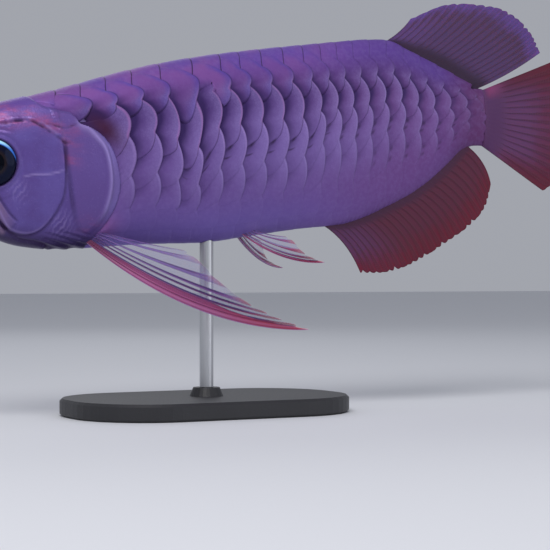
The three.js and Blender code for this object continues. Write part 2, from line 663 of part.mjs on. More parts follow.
for (const [side, word, cover] of [[LEFT, "left", covers[0]], [RIGHT, "right", covers[1]]]) {
  model.add(meshOf(`eye_${word}`, eyeball(side, 0), "eye"));
  model.add(meshOf(`barbel_${word}`, largest(barbel(side).subtract(chin)), "whisker"));
  // The gill cover's rim stands a little proud of the smooth body, so the fin is cut clear of it too.
  const clearance = cover.add(cover.translate(GAP, side * GAP, -GAP));
  const pectoral = pairedFin(PECTORAL, side, 10).subtract(envelope).subtract(clearance);
  model.add(meshOf(`pectoral_fin_${word}`, largest(pectoral), "ray"));
  model.add(meshOf(`pelvic_fin_${word}`, largest(pairedFin(PELVIC, side, 7).subtract(envelope)), "ray"));
}
const dorsal = medianFin(DORSAL, backLine, 4).subtract(envelope).subtract(tail.translate(0, 0, GAP));
const anal = medianFin(ANAL, bellyLine, 4).subtract(envelope).subtract(tail.translate(0, 0, -GAP));
model.add(meshOf("dorsal_fin", largest(dorsal), "fin"), meshOf("anal_fin", largest(anal), "fin"));
model.add(meshOf("caudal_fin", caudalFin(8), "fin"));

model.add(meshOf("stand_base", standBase(), "base"), meshOf("stand_rod", standRod(envelope), "steel"));

export default model;
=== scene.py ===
# %% [markdown]
# # An Asian arowana on a display stand
#
# This lesson dresses the solid model of an Asian arowana: a long, flat-sided river fish with large pearly
# scales, a mouth that opens upwards and two barbels on its chin. The solids hold the sizes. Here every
# surface gets its finish and its finer forms: skull plates, overlapping scales, and fins with branching
# rays. The fish swims along -X and its left flank faces -Y. Its lengths are in millimetres. Those of
# textures, lights and camera are in metres.

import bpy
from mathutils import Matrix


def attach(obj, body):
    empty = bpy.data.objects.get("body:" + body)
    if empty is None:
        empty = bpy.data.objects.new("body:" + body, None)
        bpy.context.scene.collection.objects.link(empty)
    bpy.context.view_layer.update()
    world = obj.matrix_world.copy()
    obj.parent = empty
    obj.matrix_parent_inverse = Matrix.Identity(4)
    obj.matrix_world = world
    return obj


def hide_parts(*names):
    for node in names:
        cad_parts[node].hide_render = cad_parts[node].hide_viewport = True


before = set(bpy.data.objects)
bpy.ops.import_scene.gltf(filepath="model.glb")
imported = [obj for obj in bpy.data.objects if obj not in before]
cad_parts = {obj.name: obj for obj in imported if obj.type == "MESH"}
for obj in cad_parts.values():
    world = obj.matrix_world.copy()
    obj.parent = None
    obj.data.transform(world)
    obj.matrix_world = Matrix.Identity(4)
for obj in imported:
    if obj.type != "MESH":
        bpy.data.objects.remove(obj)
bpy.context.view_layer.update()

# %% Tools
import math

import bpy
import numpy as np
from mathutils import Vector

MM = 0.001
LEFT, RIGHT = -1, 1
SIDES = ((LEFT, "left"), (RIGHT, "right"))
dice = np.random.default_rng(11)

# %% [markdown]
# ## Curves
#
# The outline of a fish is easiest to hold as a short table of stations. A curve through them has to be
# smooth and must not swing past a station, or the back would ripple. A monotone cubic does both. Sampling
# it on whole arrays keeps the script quick.

# %% A curve through a table
def curve_through(pairs):
    """Monotone cubic: each tangent is the harmonic mean of the two slopes beside it, or zero at a peak."""
    xs, ys = np.array(pairs, float).T
    slopes = np.diff(ys) / np.diff(xs)
    before, after = np.r_[slopes[:1], slopes], np.r_[slopes, slopes[-1:]]
    same_way = before * after > 0
    tangents = np.where(same_way, 2 * before * after / np.where(same_way, before + after, 1), 0)

    def at(x):
        x = np.clip(x, xs[0], xs[-1])
        i = np.clip(np.searchsorted(xs, x, side="right") - 1, 0, len(xs) - 2)
        span = xs[i + 1] - xs[i]
        t, rise = (x - xs[i]) / span, ys[i + 1] - ys[i]
        start, end = tangents[i] * span, tangents[i + 1] * span
        return ys[i] + t * (start + t * (3 * rise - 2 * start - end + t * (start + end - 2 * rise)))

    return at


def spline(points, count):
    """Catmull-Rom curve through 2-D or 3-D points, sampled evenly in its parameter."""
    points = np.array(points, float)
    ends = np.vstack([2 * points[0] - points[1], points, 2 * points[-1] - points[-2]])
    u = np.linspace(0, len(points) - 1, count)
    i = np.minimum(u.astype(int), len(points) - 2)
    t = (u - i)[:, None]
    a, b, c, d = ends[i], ends[i + 1], ends[i + 2], ends[i + 3]
    return b + 0.5 * t * (c - a + t * (2 * a - 5 * b + 4 * c - d + t * (3 * (b - c) + d - a)))


def smooth_step(x, low, high):
    """0 below low, 1 above high, and an S between: t t (3 - 2 t)."""
    t = np.clip((x - low) / (high - low), 0, 1)
    return t * t * (3 - 2 * t)


def bell(x, width):
    """1 at x = 0, falling as exp(-(x / width) squared)."""
    return np.exp(-np.square(x / width))


def blend(a, b, share):
    """a at share 0, b at share 1: a + (b - a) share."""
    return a + (b - a) * share


# %% [markdown]
# ## The body
#
# An arowana is a blade: more than twice as deep as it is wide, with a nearly straight back and its greatest
# depth far behind, where the anal fin begins. Each cross-section is two half superellipses that meet at the
# widest level. The upper one is squarer, which gives the flat skull and shoulders, and the lower one is more
# pointed, which gives the keel.

# %% Body stations: x, back height, belly height, half width
BODY_STATIONS = [
    (-168.0, 155.4, 152.2, 1.6), (-166.5, 159.0, 147.2, 5.6), (-163.0, 161.6, 140.6, 8.8),
    (-157.0, 164.2, 131.4, 11.4), (-148.0, 167.2, 119.0, 13.8), (-138.0, 170.2, 107.6, 15.8),
    (-125.0, 174.0, 98.6, 18.2), (-112.0, 177.6, 95.4, 20.2), (-97.0, 181.8, 94.2, 21.6),
    (-80.0, 187.0, 94.6, 22.4), (-60.0, 193.2, 96.2, 22.6), (-36.0, 199.8, 97.6, 22.2),
    (-4.0, 206.8, 98.6, 21.4), (28.0, 212.3, 102.9, 20.0), (62.0, 217.4, 107.6, 17.6),
    (90.0, 221.4, 110.4, 14.8), (104.0, 223.3, 114.2, 13.2), (121.0, 224.3, 121.0, 11.3),
    (140.0, 218.4, 129.8, 9.2), (155.0, 213.0, 139.4, 7.7), (168.0, 208.0, 150.0, 6.5),
    (178.0, 203.8, 158.4, 5.7), (187.0, 200.2, 161.4, 5.0), (197.0, 197.6, 161.2, 4.4),
]
SNOUT_X, TAIL_X = BODY_STATIONS[0][0], BODY_STATIONS[-1][0]
widest_share = curve_through([(-168, 0.5), (-135, 0.42), (-60, 0.47), (197, 0.48)])
top_power = curve_through([(-168, 2.2), (-140, 2.8), (-90, 2.6), (-20, 2.3), (197, 2.0)])
bottom_power = curve_through([(-168, 2.2), (-110, 2.1), (-40, 1.9), (197, 1.85)])


def body_line(column):
    """A station column against the square root of the distance from the snout, so that the snout is round."""
    curve = curve_through([(math.sqrt(row[0] - SNOUT_X), row[column]) for row in BODY_STATIONS])
    return lambda x: curve(np.sqrt(np.maximum(0, x - SNOUT_X)))


back_line, belly_line, half_width = body_line(1), body_line(2), body_line(3)


def section(x, above):
    """Middle height, reach above or below it, half width and superellipse power of the section at x."""
    depth = back_line(x) - belly_line(x)
    share = widest_share(x)
    middle = back_line(x) - depth * share
    reach = depth * np.where(above, share, 1 - share)
    return middle, reach, half_width(x), np.where(above, top_power(x), bottom_power(x))


def lifted(x, side, shape, across, up, lift):
    """A skin point moved out by lift along the gradient of (y / half) ** n + (z / reach) ** n."""
    middle, reach, half, power = shape
    out_y = across ** (power - 1) / half
    out_z = np.sign(up) * np.abs(up) ** (power - 1) / reach
    length = np.hypot(out_y, out_z)
    y = half * across + lift * out_y / length
    return np.stack(np.broadcast_arrays(x, side * y, middle + reach * up + lift * out_z / length), axis=-1)


def fold(turn):
    """Angle from the back, 0 to 180, of a turn that may run on past the belly: 180 - |180 - |turn||."""
    return 180 - np.abs(180 - np.abs(turn))


def skin_at_angle(x, turn, lift=0.0):
    """Skin at an angle in degrees from the back: negative down the left flank, positive down the right."""
    across, up = np.sin(np.radians(turn)), np.cos(np.radians(turn))
    shape = section(x, up >= 0)
    power = 2 / shape[3]
    side = np.where(across < 0, LEFT, RIGHT)
    return lifted(x, side, shape, np.abs(across) ** power, np.sign(up) * np.abs(up) ** power, lift)


def skin_at_height(x, z, side, lift=0.0):
    """Skin at height z as seen from the side."""
    middle = back_line(x) - (back_line(x) - belly_line(x)) * widest_share(x)
    shape = section(x, z >= middle)
    up = np.clip((z - shape[0]) / shape[1], -0.999, 0.999)
    return lifted(x, side, shape, (1 - np.abs(up) ** shape[3]) ** (1 / shape[3]), up, lift)


stations = np.linspace(SNOUT_X, TAIL_X, 400)
print("deepest section", round(float((back_line(stations) - belly_line(stations)).max()), 1), "mm")

# %% [markdown]
# ## From arrays to a mesh
#
# A grid of points becomes quads, numbered row by row. Values kept on the points, such as how far a point
# lies along its scale, travel with the mesh as attributes, and the finishes read them. The map named OFBake
# tells a later bake where each face keeps its colours.

# %% Mesh helpers
def grid_faces(rows, columns, wrap=False):
    """Quads (r, c), (r, c + 1), (r + 1, c + 1), (r + 1, c). With wrap the last column meets the first."""
    r, c = np.meshgrid(np.arange(rows - 1), np.arange(columns if wrap else columns - 1), indexing="ij")
    after = (c + 1) % columns
    here, below = r * columns, (r + 1) * columns
    return np.stack([here + c, here + after, below + after, below + c], axis=-1).reshape(-1, 4)


def fan_faces(ring, centre):
    """Triangles from a closed ring of point numbers to one centre point."""
    return np.stack([ring, np.roll(ring, -1), np.full(len(ring), centre)], axis=-1)


def rim_of(rows, columns):
    """Point numbers round the border of a grid, once round."""
    index = np.arange(rows * columns).reshape(rows, columns)
    return np.r_[index[0, :-1], index[:-1, -1], index[-1, :0:-1], index[:0:-1, 0]]


def make_piece(name, points, faces, finish, nodes=(), values=None, bake=None):
    """One smooth-shaded mesh object from points in millimetres and blocks of faces."""
    sizes = np.concatenate([np.full(len(block), block.shape[1]) for block in faces])
    corners = np.concatenate([block.ravel() for block in faces]).astype(np.int32)
    mesh = bpy.data.meshes.new(name)
    mesh.vertices.add(len(points))
    mesh.vertices.foreach_set("co", (np.asarray(points) * MM).astype(np.float32).ravel())
    mesh.loops.add(len(corners))
    mesh.loops.foreach_set("vertex_index", corners)
    mesh.polygons.add(len(sizes))
    mesh.polygons.foreach_set("loop_start", np.r_[0, np.cumsum(sizes)[:-1]].astype(np.int32))
    mesh.update(calc_edges=True)
    mesh.polygons.foreach_set("use_smooth", np.ones(len(sizes), bool))
    for key, value in (values or {}).items():
        data = np.broadcast_to(value, len(points)).astype(np.float32)
        mesh.attributes.new(key, "FLOAT", "POINT").data.foreach_set("value", data)
    if bake is not None:
        mesh.uv_layers.new(name="OFBake").data.foreach_set("uv", bake.astype(np.float32).ravel())
    mesh.materials.append(finish)
    piece = bpy.data.objects.new(name, mesh)
    bpy.context.scene.collection.objects.link(piece)
    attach(piece, "root")
    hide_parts(*nodes)
    print(name, "has", int((sizes - 2).sum()), "triangles")
    return piece


# %% [markdown]
# ## Finishes as expressions
#
# Node trees are easier to read as sums. The Wire class wraps a socket, so that `1 - mask * 0.5` adds the
# Math nodes for it, and a Finish holds one material with one method that adds any other node.

# %% Shader tools
class Wire:
    """A node's output that can be used in sums. Each operator adds one Math node."""

    def __init__(self, finish, socket):
        self.finish, self.socket = finish, socket

    def math(self, operation, *others):
        values = {n: value for n, value in enumerate((self, *others))}
        return self.finish.add("ShaderNodeMath", {"operation": operation}, values)

    def reflected(self, operation, other):
        return self.finish.add("ShaderNodeMath", {"operation": operation}, {0: other, 1: self})

    def __add__(self, other):
        return self.math("ADD", other)

    def __radd__(self, other):
        return self.reflected("ADD", other)

    def __sub__(self, other):
        return self.math("SUBTRACT", other)

    def __rsub__(self, other):
        return self.reflected("SUBTRACT", other)

    def __mul__(self, other):
        return self.math("MULTIPLY", other)

    def __truediv__(self, other):
        return self.math("DIVIDE", other)

    def ramp(self, low, high):
        """Smooth step from 0 at low to 1 at high."""
        sockets = {"Value": self, "From Min": low, "From Max": high}
        return self.finish.add("ShaderNodeMapRange", {"interpolation_type": "SMOOTHSTEP"}, sockets)

    def peak(self, centre, width):
        """1 at centre, falling to 0 at width away."""
        return (1 - (self - centre).math("ABSOLUTE") / width).math("MAXIMUM", 0.0).ramp(0.0, 1.0)


class Finish:
    """One material: a Principled shader and whatever feeds it."""

    def __init__(self, name, **constants):
        self.material = bpy.data.materials.new(name)
        self.material.use_nodes = True
        self.tree = self.material.node_tree
        self.shader = self.tree.nodes["Principled BSDF"]
        self.wear(**constants)

    def feed(self, socket, value):
        """Links a wire or sets a constant. A word stands for the colour of that name in PAINT."""
        value = PAINT[value] if isinstance(value, str) else value
        if isinstance(value, Wire):
            self.tree.links.new(value.socket, socket)
        elif isinstance(value, tuple):
            socket.default_value = (*value, 1.0) if socket.type == "RGBA" and len(value) == 3 else value
        else:
            socket.default_value = value

    def add(self, kind, settings=None, sockets=None, output=0):
        """Adds any node: its settings first, then the values or wires of its sockets."""
        node = self.tree.nodes.new(kind)
        for key, value in (settings or {}).items():
            setattr(node, key, value)
        for key, value in (sockets or {}).items():
            self.feed(node.inputs[key], value)
        return Wire(self, node.outputs[output])

    def place(self):
        return self.add("ShaderNodeTexCoord", output="Object")

    def value(self, name):
        return self.add("ShaderNodeAttribute", {"attribute_name": name}, output="Fac")

    def mix(self, share, first, second):
        """Colour between first and second."""
        return self.add("ShaderNodeMix", {"data_type": "RGBA"}, {0: share, 6: first, 7: second}, output=2)

    def coats(self, colour, *layers):
        """Lays colours over one another. Each layer is a share and a colour."""
        for share, paint in layers:
            colour = self.mix(share, colour, paint)
        return colour

    def noise(self, scale, detail=3.0, rough=0.55, at=None):
        """Cloudy noise from 0 to 1 on object coordinates, scale in waves per metre."""
        sockets = {"Vector": at or self.place(), "Scale": scale, "Detail": detail, "Roughness": rough}
        return self.add("ShaderNodeTexNoise", None, sockets)

    def cells(self, scale, feature="DISTANCE_TO_EDGE"):
        """Cell pattern: distance to the nearest border, or to the nearest cell's centre."""
        sockets = {"Vector": self.place(), "Scale": scale}
        return self.add("ShaderNodeTexVoronoi", {"feature": feature}, sockets)

    def stretched(self, x, y, z):
        """Object coordinates multiplied axis by axis."""
        return self.add("ShaderNodeMapping", None, {"Vector": self.place(), "Scale": (x, y, z)})

    def bump(self, height, distance, strength=1.0):
        """Raises the surface by height times distance, in metres, in the shading only."""
        sockets = {"Height": height, "Distance": distance, "Strength": strength}
        return self.add("ShaderNodeBump", None, sockets)

    def wear(self, **sockets):
        """Feeds the shader's own sockets and returns the material."""
        for key, value in sockets.items():
            self.feed(self.shader.inputs[key.replace("_", " ")], value)
        return self.material


def shade(red, green, blue):
    """Linear colour from 0 to 255 display values: ((v + 0.055) / 1.055) ** 2.4."""
    values = np.array([red, green, blue]) / 255
    return tuple(float(v) for v in ((values + 0.055) / 1.055) ** 2.4)


# %% [markdown]
# ## Colours of the fish
#
# The back is a deep violet with a rosy cast, the flank a mauve with a painted sheen, a paler band along
# its middle, and the belly bluer. The skin and the scales share one function for this, so that the
# markings run on from one to the other. It reads how far round the body and how far along it a point lies,
# and a few soft spots, one of them a painted shadow behind the top of the gill cover.

# %% Body colours
# Some of these colours stand for painted light: a pale and a rosy highlight, a painted sheen, a painted
# shadow behind the gill cover, the dark of the painted shadow on the scales, and a dark used both for painted
# shade in grooves and for dark marks.
DISPLAY_COLOURS = {
    "back": (100, 70, 154), "rosy_back": (126, 78, 148), "shoulder": (78, 50, 116), "blue_rim": (84, 68, 158),
    "flank": (108, 80, 148), "rear_flank": (108, 66, 128), "belly": (114, 94, 172), "stalk": (94, 48, 96),
    "throat": (50, 38, 78), "cheek": (98, 82, 154), "gill": (98, 74, 142), "crease": (40, 22, 54),
    "gleam": (158, 138, 202), "rosy_highlight": (164, 112, 176), "blush": (158, 80, 128), "gill_shadow": (62, 22, 46),
    "shade": (46, 28, 80), "sheen": (126, 104, 172), "jaw": (62, 48, 90), "lip": (140, 112, 140),
}
PAINT = {name: shade(*display) for name, display in DISPLAY_COLOURS.items()}


def body_paint(finish):
    """Markings of the body, with painted sheen and shadow, mainly from round (0 back, 1 belly) and along (0
    snout, 1 tail).
    """
    around, along = finish.value("round"), finish.value("along")
    cloud = finish.noise(34.0, 3.0) - 0.5
    level = around + cloud * 0.08
    rosy = (1 - level.ramp(0.16, 0.36)) * (cloud + 0.5).ramp(0.38, 0.60) * (1 - along.ramp(0.5, 0.8))
    # painted sheen: a paler band along the middle of the flank, lightest halfway along the body
    sheen = around.peak(0.56, 0.2) * along.peak(0.62, 0.3)
    sheath = (along * 760.0).math("SINE") * around.ramp(0.86, 0.95) * along.ramp(0.67, 0.72)
    colour = finish.coats(
        "back",
        (level.ramp(0.16, 0.34), "shoulder"),
        (rosy * 0.8, "rosy_back"),
        (level.ramp(0.36, 0.52), "flank"),
        (level.ramp(0.64, 0.86), "belly"),
        (along.ramp(0.50, 0.85) * level.ramp(0.2, 0.42) * 0.85, "rear_flank"),
        # painted sheen along the middle of the flank
        (sheen * 0.5, "sheen"),
        (along.ramp(0.6, 0.95) * (1 - level.ramp(0.2, 0.4)) * 0.45, "shoulder"),
        (along.ramp(0.88, 0.98) * 0.9, "stalk"),
        (finish.value("patch") * 0.5, "sheen"),
        (finish.value("bloom") * 0.4, "blush"),
        (sheath.math("MAXIMUM", 0.0) * 0.35, "crease"),
        # painted shadow behind the top of the gill cover
        (finish.value("gill_shadow"), "gill_shadow"),
    )
    fine = finish.noise(420.0, 4.0)
    return finish.mix(fine.ramp(0.35, 0.75) * 0.22, colour, finish.mix(0.5, colour, "gleam"))


# Spots on the skin: the middle's x and z, both half-lengths and the slope. The first is a painted
# shadow behind the top of the gill cover.
SPOTS = {
    "gill_shadow": (-73.0, 161.0, 11.0, 5.5, -0.85), "patch": (27.0, 107.5, 8.0, 4.5, 0.1),
    "bloom": (-71.0, 106.0, 10.0, 6.5, 0.3),
}


def oval(x, z, middle_x, middle_z, long, short, slope=0.0):
    """A soft oval seen from the side: a bell on the distance in half-lengths, along and across its slope."""
    lean = math.hypot(1, slope)
    aside, up = x - middle_x, z - middle_z
    return bell(np.hypot((aside + slope * up) / lean / long, (up - slope * aside) / lean / short), 1.0)


def body_values(points, turn):
    """The values that body_paint reads, for skin points and their angles."""
    x, z = points[..., 0], points[..., 2]
    spots = {key: oval(x, z, *spot) * smooth_step(fold(turn), 20, 40) for key, spot in SPOTS.items()}
    return {"round": fold(turn) / 180, "along": (x - SNOUT_X) / (TAIL_X - SNOUT_X), **spots}


# %% [markdown]
# ## The head's relief
#
# A bony tongue fish has no scales on its head. Thin skin lies over large plates of bone, so the head is
# best made as one skin whose height is worked out from the lines that part the plates, drawn as seen from
# the side. For each skin point the signed distance to each line is measured. A groove is a negative bell on
# that distance, a ridge is a positive one, and an overlapping plate is a step.

# %% Lines of the head, as x, z seen from the side
GILL_EDGE = [
    (-121, 186), (-116, 174), (-110, 167.6), (-101, 164), (-92, 162.6), (-83.5, 161.8), (-74.5, 157.6),
    (-67.3, 148.9), (-63.2, 136), (-62.4, 127), (-63.8, 118.6), (-67.3, 110.3), (-72, 103), (-75.5, 98.5),
    (-78, 90),
]
GILL_RIDGE = [
    (-85.5, 164.2), (-83.4, 162), (-78.2, 156.8), (-72.3, 149.5), (-69, 137.7), (-68.4, 126.7), (-71, 114),
    (-76, 105.5), (-80, 101),
]
PREOPERCLE = [
    (-97, 153), (-95.2, 147.3), (-93.7, 137.6), (-91.8, 127.3), (-89.4, 116.7), (-86.5, 107.8),
    (-81.9, 101.3),
]
CHEEK_REAR = [
    (-96.5, 156), (-95.3, 148), (-95.1, 136), (-95.5, 123.4), (-100, 112.6), (-105.5, 105), (-112, 102),
    (-119, 102.5), (-125.5, 106), (-131.5, 115),
]
CHEEK_MIDDLE = [(-120.4, 132.6), (-112, 134.1), (-103, 134.8), (-93.6, 137.6)]
TEMPLE = [
    (-134, 160.5), (-127.2, 161.4), (-119, 162.9), (-112, 162.4), (-105, 158.2), (-100, 154.8), (-95, 151.6),
    (-89.5, 152.6),
]
TEMPLE_FORK = [(-112, 162.4), (-104, 161.6), (-97, 160.2), (-91, 160.8), (-85.5, 164.2)]
BROW = [(-158, 160.5), (-148, 158.4), (-140, 157.6), (-130, 157.9), (-121, 156)]
MOUTH_LINE = [
    (-172, 158), (-166, 154.8), (-158, 146.2), (-148, 133.8), (-138, 120.6), (-130, 109.6), (-123, 103),
]
JAW_REAR = [(-123, 103), (-116, 99.4), (-108, 98), (-101, 96), (-97, 92)]
EYE = {"x": -134.2, "z": 140.0, "radius": 12.6, "sink": 1.0, "front": 4.4, "rear": 8.0}


def line_distance(x, z, points, count=64):
    """Signed distance from (x, z) to a smooth line, positive on its left, and the share along the line."""
    path = spline(points, count)
    start, step = path[:-1], np.diff(path, axis=0)
    away_x, away_z = x[:, None] - start[:, 0], z[:, None] - start[:, 1]
    t = np.clip((away_x * step[:, 0] + away_z * step[:, 1]) / (step**2).sum(1), 0, 1)
    distance = np.hypot(away_x - t * step[:, 0], away_z - t * step[:, 1])
    nearest = distance.argmin(1)
    row = np.arange(len(x))
    turn = step[nearest, 0] * away_z[row, nearest] - step[nearest, 1] * away_x[row, nearest]
    return np.where(turn >= 0, 1, -1) * distance[row, nearest], (nearest + t[row, nearest]) / (count - 1)


def eye_frame(side):
    """Centre of the eye and three directions: along the skin, up the skin, and outwards, across both."""
    step = 6.0
    x = EYE["x"] + np.array([-step, step, 0, 0, 0])
    z = EYE["z"] + np.array([0, 0, -step, step, 0])
    behind, ahead, below, above, middle = skin_at_height(x, z, side)
    out = np.cross(above - below, ahead - behind) * side
    out /= np.linalg.norm(out)
    along = (ahead - behind) - out * np.dot(ahead - behind, out)
    along /= np.linalg.norm(along)
    return middle - EYE["sink"] * out, along, np.cross(along, out) * side, out


def eye_distance(points):
    """Distance of each point from the eye's axis, on its own side of the head."""
    side = np.where(points[:, 1] < 0, LEFT, RIGHT)
    distance = np.zeros(len(points))
    for one in (LEFT, RIGHT):
        centre, _, _, out = eye_frame(one)
        away = points - centre
        away = away - (away @ out)[:, None] * out
        distance = np.where(side == one, np.linalg.norm(away, axis=1), distance)
    return distance


def ends_faded(share, margin=0.08):
    """1 along a line, fading to 0 at both of its ends."""
    return smooth_step(share, 0, margin) * smooth_step(1 - share, 0, margin)


# %% Height and paint masks of the head
def waver(x, z, length, size, phase=0.0):
    """A small wandering shift, a sum of three sines, that keeps lines from looking ruled."""
    u, v = x / length, z / length
    slow, middling, quick = 2.1 * u + 1.3 * v + phase, 3.7 * v - 2.2 * u + 2 * phase, 6.1 * u + 5.3 * v
    return size * (np.sin(slow) + 0.6 * np.sin(middling) + 0.4 * np.sin(quick)) / 2


NAPE_COVER = 7.0
LIP_TOP = 6.6
SOCKET_FLOOR = -9.0


def on_nape(x, z):
    """1 on the nape, where the head's skin laps a little over the first scales."""
    return smooth_step(z, 160, 166) * smooth_step(-x, 84, 92)


def stroke(line, width, margin, aside=0.0):
    """A line's mark: a bell on the distance to it, moved aside, and faded at both ends."""
    distance, share = line
    return bell(distance - aside, width) * ends_faded(share, margin)


def head_relief(x, z, eye):
    """Height over the smooth skin in millimetres, and the masks that the paint follows."""
    wavy = x + waver(x, z, 9, 0.5), z + waver(z, x, 8, 0.5, 1.0)
    gill, ridge, pre, cheek, middle, mouth, jaw_rear = (
        line_distance(x, z, line)
        for line in (GILL_EDGE, GILL_RIDGE, PREOPERCLE, CHEEK_REAR, CHEEK_MIDDLE, MOUTH_LINE, JAW_REAR)
    )
    temple, fork, brow = (line_distance(*wavy, line) for line in (TEMPLE, TEMPLE_FORK, BROW))
    over_mouth, on_mouth = mouth
    behind_gill, behind_ridge, behind_cheek, over_temple = gill[0], ridge[0], cheek[0], temple[0]
    rim = eye - EYE["radius"]

    open_mouth = smooth_step(1 - on_mouth, 0.0, 0.06)
    upper_lip = smooth_step(over_mouth, 0.2, 1.2) * smooth_step(6.4 - over_mouth, 0, 0.9) * open_mouth
    lower_lip = bell(over_mouth + 1.9, 1.3) * open_mouth
    in_cheek = smooth_step(-behind_cheek, -0.2, 0.9) * smooth_step(x, -133, -124) * smooth_step(z, 96, 101)
    gill_plate = smooth_step(pre[0], 0.3, 2.5) * smooth_step(-behind_ridge, -0.5, 2.0)
    skirt = smooth_step(behind_ridge, 0.5, 2.0) * smooth_step(-behind_gill, 0, 1.0)
    ridge_low, pre_low = smooth_step(z, 103, 122), blend(0.35, 1, smooth_step(z, 106, 122))
    broken = np.clip(0.75 + waver(x, z, 3.1, 0.9, 2.0), 0.25, 1.2)
    wrinkled = oval(x, z, -120.5, 126, 4, 5) + oval(x, z, -95, 108, 6, 6)
    wrinkles = np.maximum(0, np.sin(2.0 * (x + waver(x, z, 4, 1.2)) - 1.1 * z)) * wrinkled
    throat = smooth_step(105.5 - z, 0, 3) * smooth_step(x, -106, -99) * smooth_step(-76 - x, -2, 4)
    pits = bell(np.mod(on_mouth * 9, 1) - 0.5, 0.09) * bell(over_mouth + 9.5, 0.75)
    pits = pits * smooth_step(on_mouth, 0.12, 0.2)

    height = 0.60 * upper_lip + 0.55 * lower_lip - 0.45 * pits + 0.3 * wrinkles
    height -= open_mouth * (1.5 * bell(over_mouth, 0.75) + 0.30 * bell(over_mouth + 4.6, 0.8))
    height -= open_mouth * 0.55 * bell(over_mouth - LIP_TOP, 0.6)
    height += 0.50 * in_cheek - 0.35 * stroke(cheek, 0.7, 0.12, 0.5)
    height += 0.42 * stroke(middle, 0.4, 0.15) - 0.25 * stroke(middle, 0.7, 0.15, -0.9)
    height += 0.55 * gill_plate + 1.1 * stroke(ridge, 1.5, 0.10) * ridge_low - 0.25 * skirt
    height -= 0.9 * stroke(pre, 1.1, 0.15) * pre_low
    height -= (0.85 * stroke(temple, 0.6, 0.2) - 0.35 * stroke(temple, 0.9, 0.2, 1.6)) * broken
    height -= 0.45 * stroke(fork, 0.5, 0.3) * broken
    height -= 0.5 * stroke(brow, 0.7, 0.3) + 0.7 * stroke(jaw_rear, 0.8, 0.15)
    height += 0.5 * bell(rim - 1.3, 0.8) - 0.35 * bell(rim - 3.2, 0.8)
    height -= 0.35 * bell(rim - 7.9, 0.6) * smooth_step(EYE["z"] - z, 1, 7) * smooth_step(-x, 118, 123)
    height = blend(height, SOCKET_FLOOR, smooth_step(0.3 - rim, 0, 1.2))
    height += 0.28 * np.sin((z + 0.25 * x) * 2.1) * throat

    nape = on_nape(x, z)
    soft = blend(0.25, 3.0, nape)
    # Painted light among the masks: crease is painted shade in the grooves, the mouth's slit, the eye's rim
    # and the pores, and gleam is painted highlight along the ridges, the wrinkles, the skirt and the top of
    # the gill opening.
    masks = {
        "head": smooth_step(NAPE_COVER * nape - behind_gill, -soft, soft),
        "jaw": smooth_step(-over_mouth, 2.8, 6) * smooth_step(-x, 100, 116),
        "lips": np.maximum(lower_lip, 0.8 * upper_lip * smooth_step(-x, 118, 130)),
        "crease": bell(over_mouth, 1.0) * open_mouth + 0.5 * bell(over_mouth - LIP_TOP, 0.8) * open_mouth
        + 0.5 * stroke(pre, 1.2, 0.2) * pre_low + 0.55 * stroke(cheek, 0.8, 0.1, 0.5)
        + (0.85 * stroke(temple, 0.7, 0.2) + 0.7 * stroke(fork, 0.6, 0.3)) * broken
        + 0.5 * bell(jaw_rear[0], 0.9) + 0.9 * bell(rim - 0.3, 0.7) + 0.5 * pits,
        "gleam": stroke(ridge, 1.2, 0.1) * ridge_low + 0.9 * stroke(middle, 0.5, 0.2) + 0.6 * wrinkles
        + 0.6 * stroke(temple, 0.7, 0.25, 1.6) * (1.2 - broken) + 0.35 * skirt * ridge_low
        + 0.5 * bell(behind_cheek + 1.2, 0.6) * smooth_step(-x, 100, 108)
        + 0.5 * bell(behind_ridge + 0.5, 2.2) * smooth_step(z, 146, 158) + oval(x, z, -84.5, 163, 3.2, 3.2),
        "blush": 0.9 * bell(over_temple - 2, 6) * smooth_step(z, 153, 162)
        + 0.8 * smooth_step(z, 158, 166) * smooth_step(-x, 118, 138)
        + 0.5 * bell(pre[0] - 1.5, 2.2) * smooth_step(z, 132, 146)
        + 0.5 * oval(x, z, -91, 148, 5, 8) + 0.25 * oval(x, z, -76, 106, 10, 7),
        "gill": gill_plate,
    }
    return height, {key: np.clip(mask, 0, 1) for key, mask in masks.items()}


# %% [markdown]
# ## One skin
#
# One skin covers head, trunk and tail stalk, so that no seam shows. Its rings are close together over the
# head, where they carry the relief, and far apart under the scales, where the skin only has to lie below
# them.

# %% Skin mesh
HEAD_RINGS, BODY_RINGS, RING_POINTS = 236, 58, 320
CROWDING = 1.45
HEAD_END, RELIEF_END = -58.0, -50.0
UNDER_SCALES, UNDER_LAST_SCALES, LAST_SCALES = -2.4, -1.0, (184, 192)


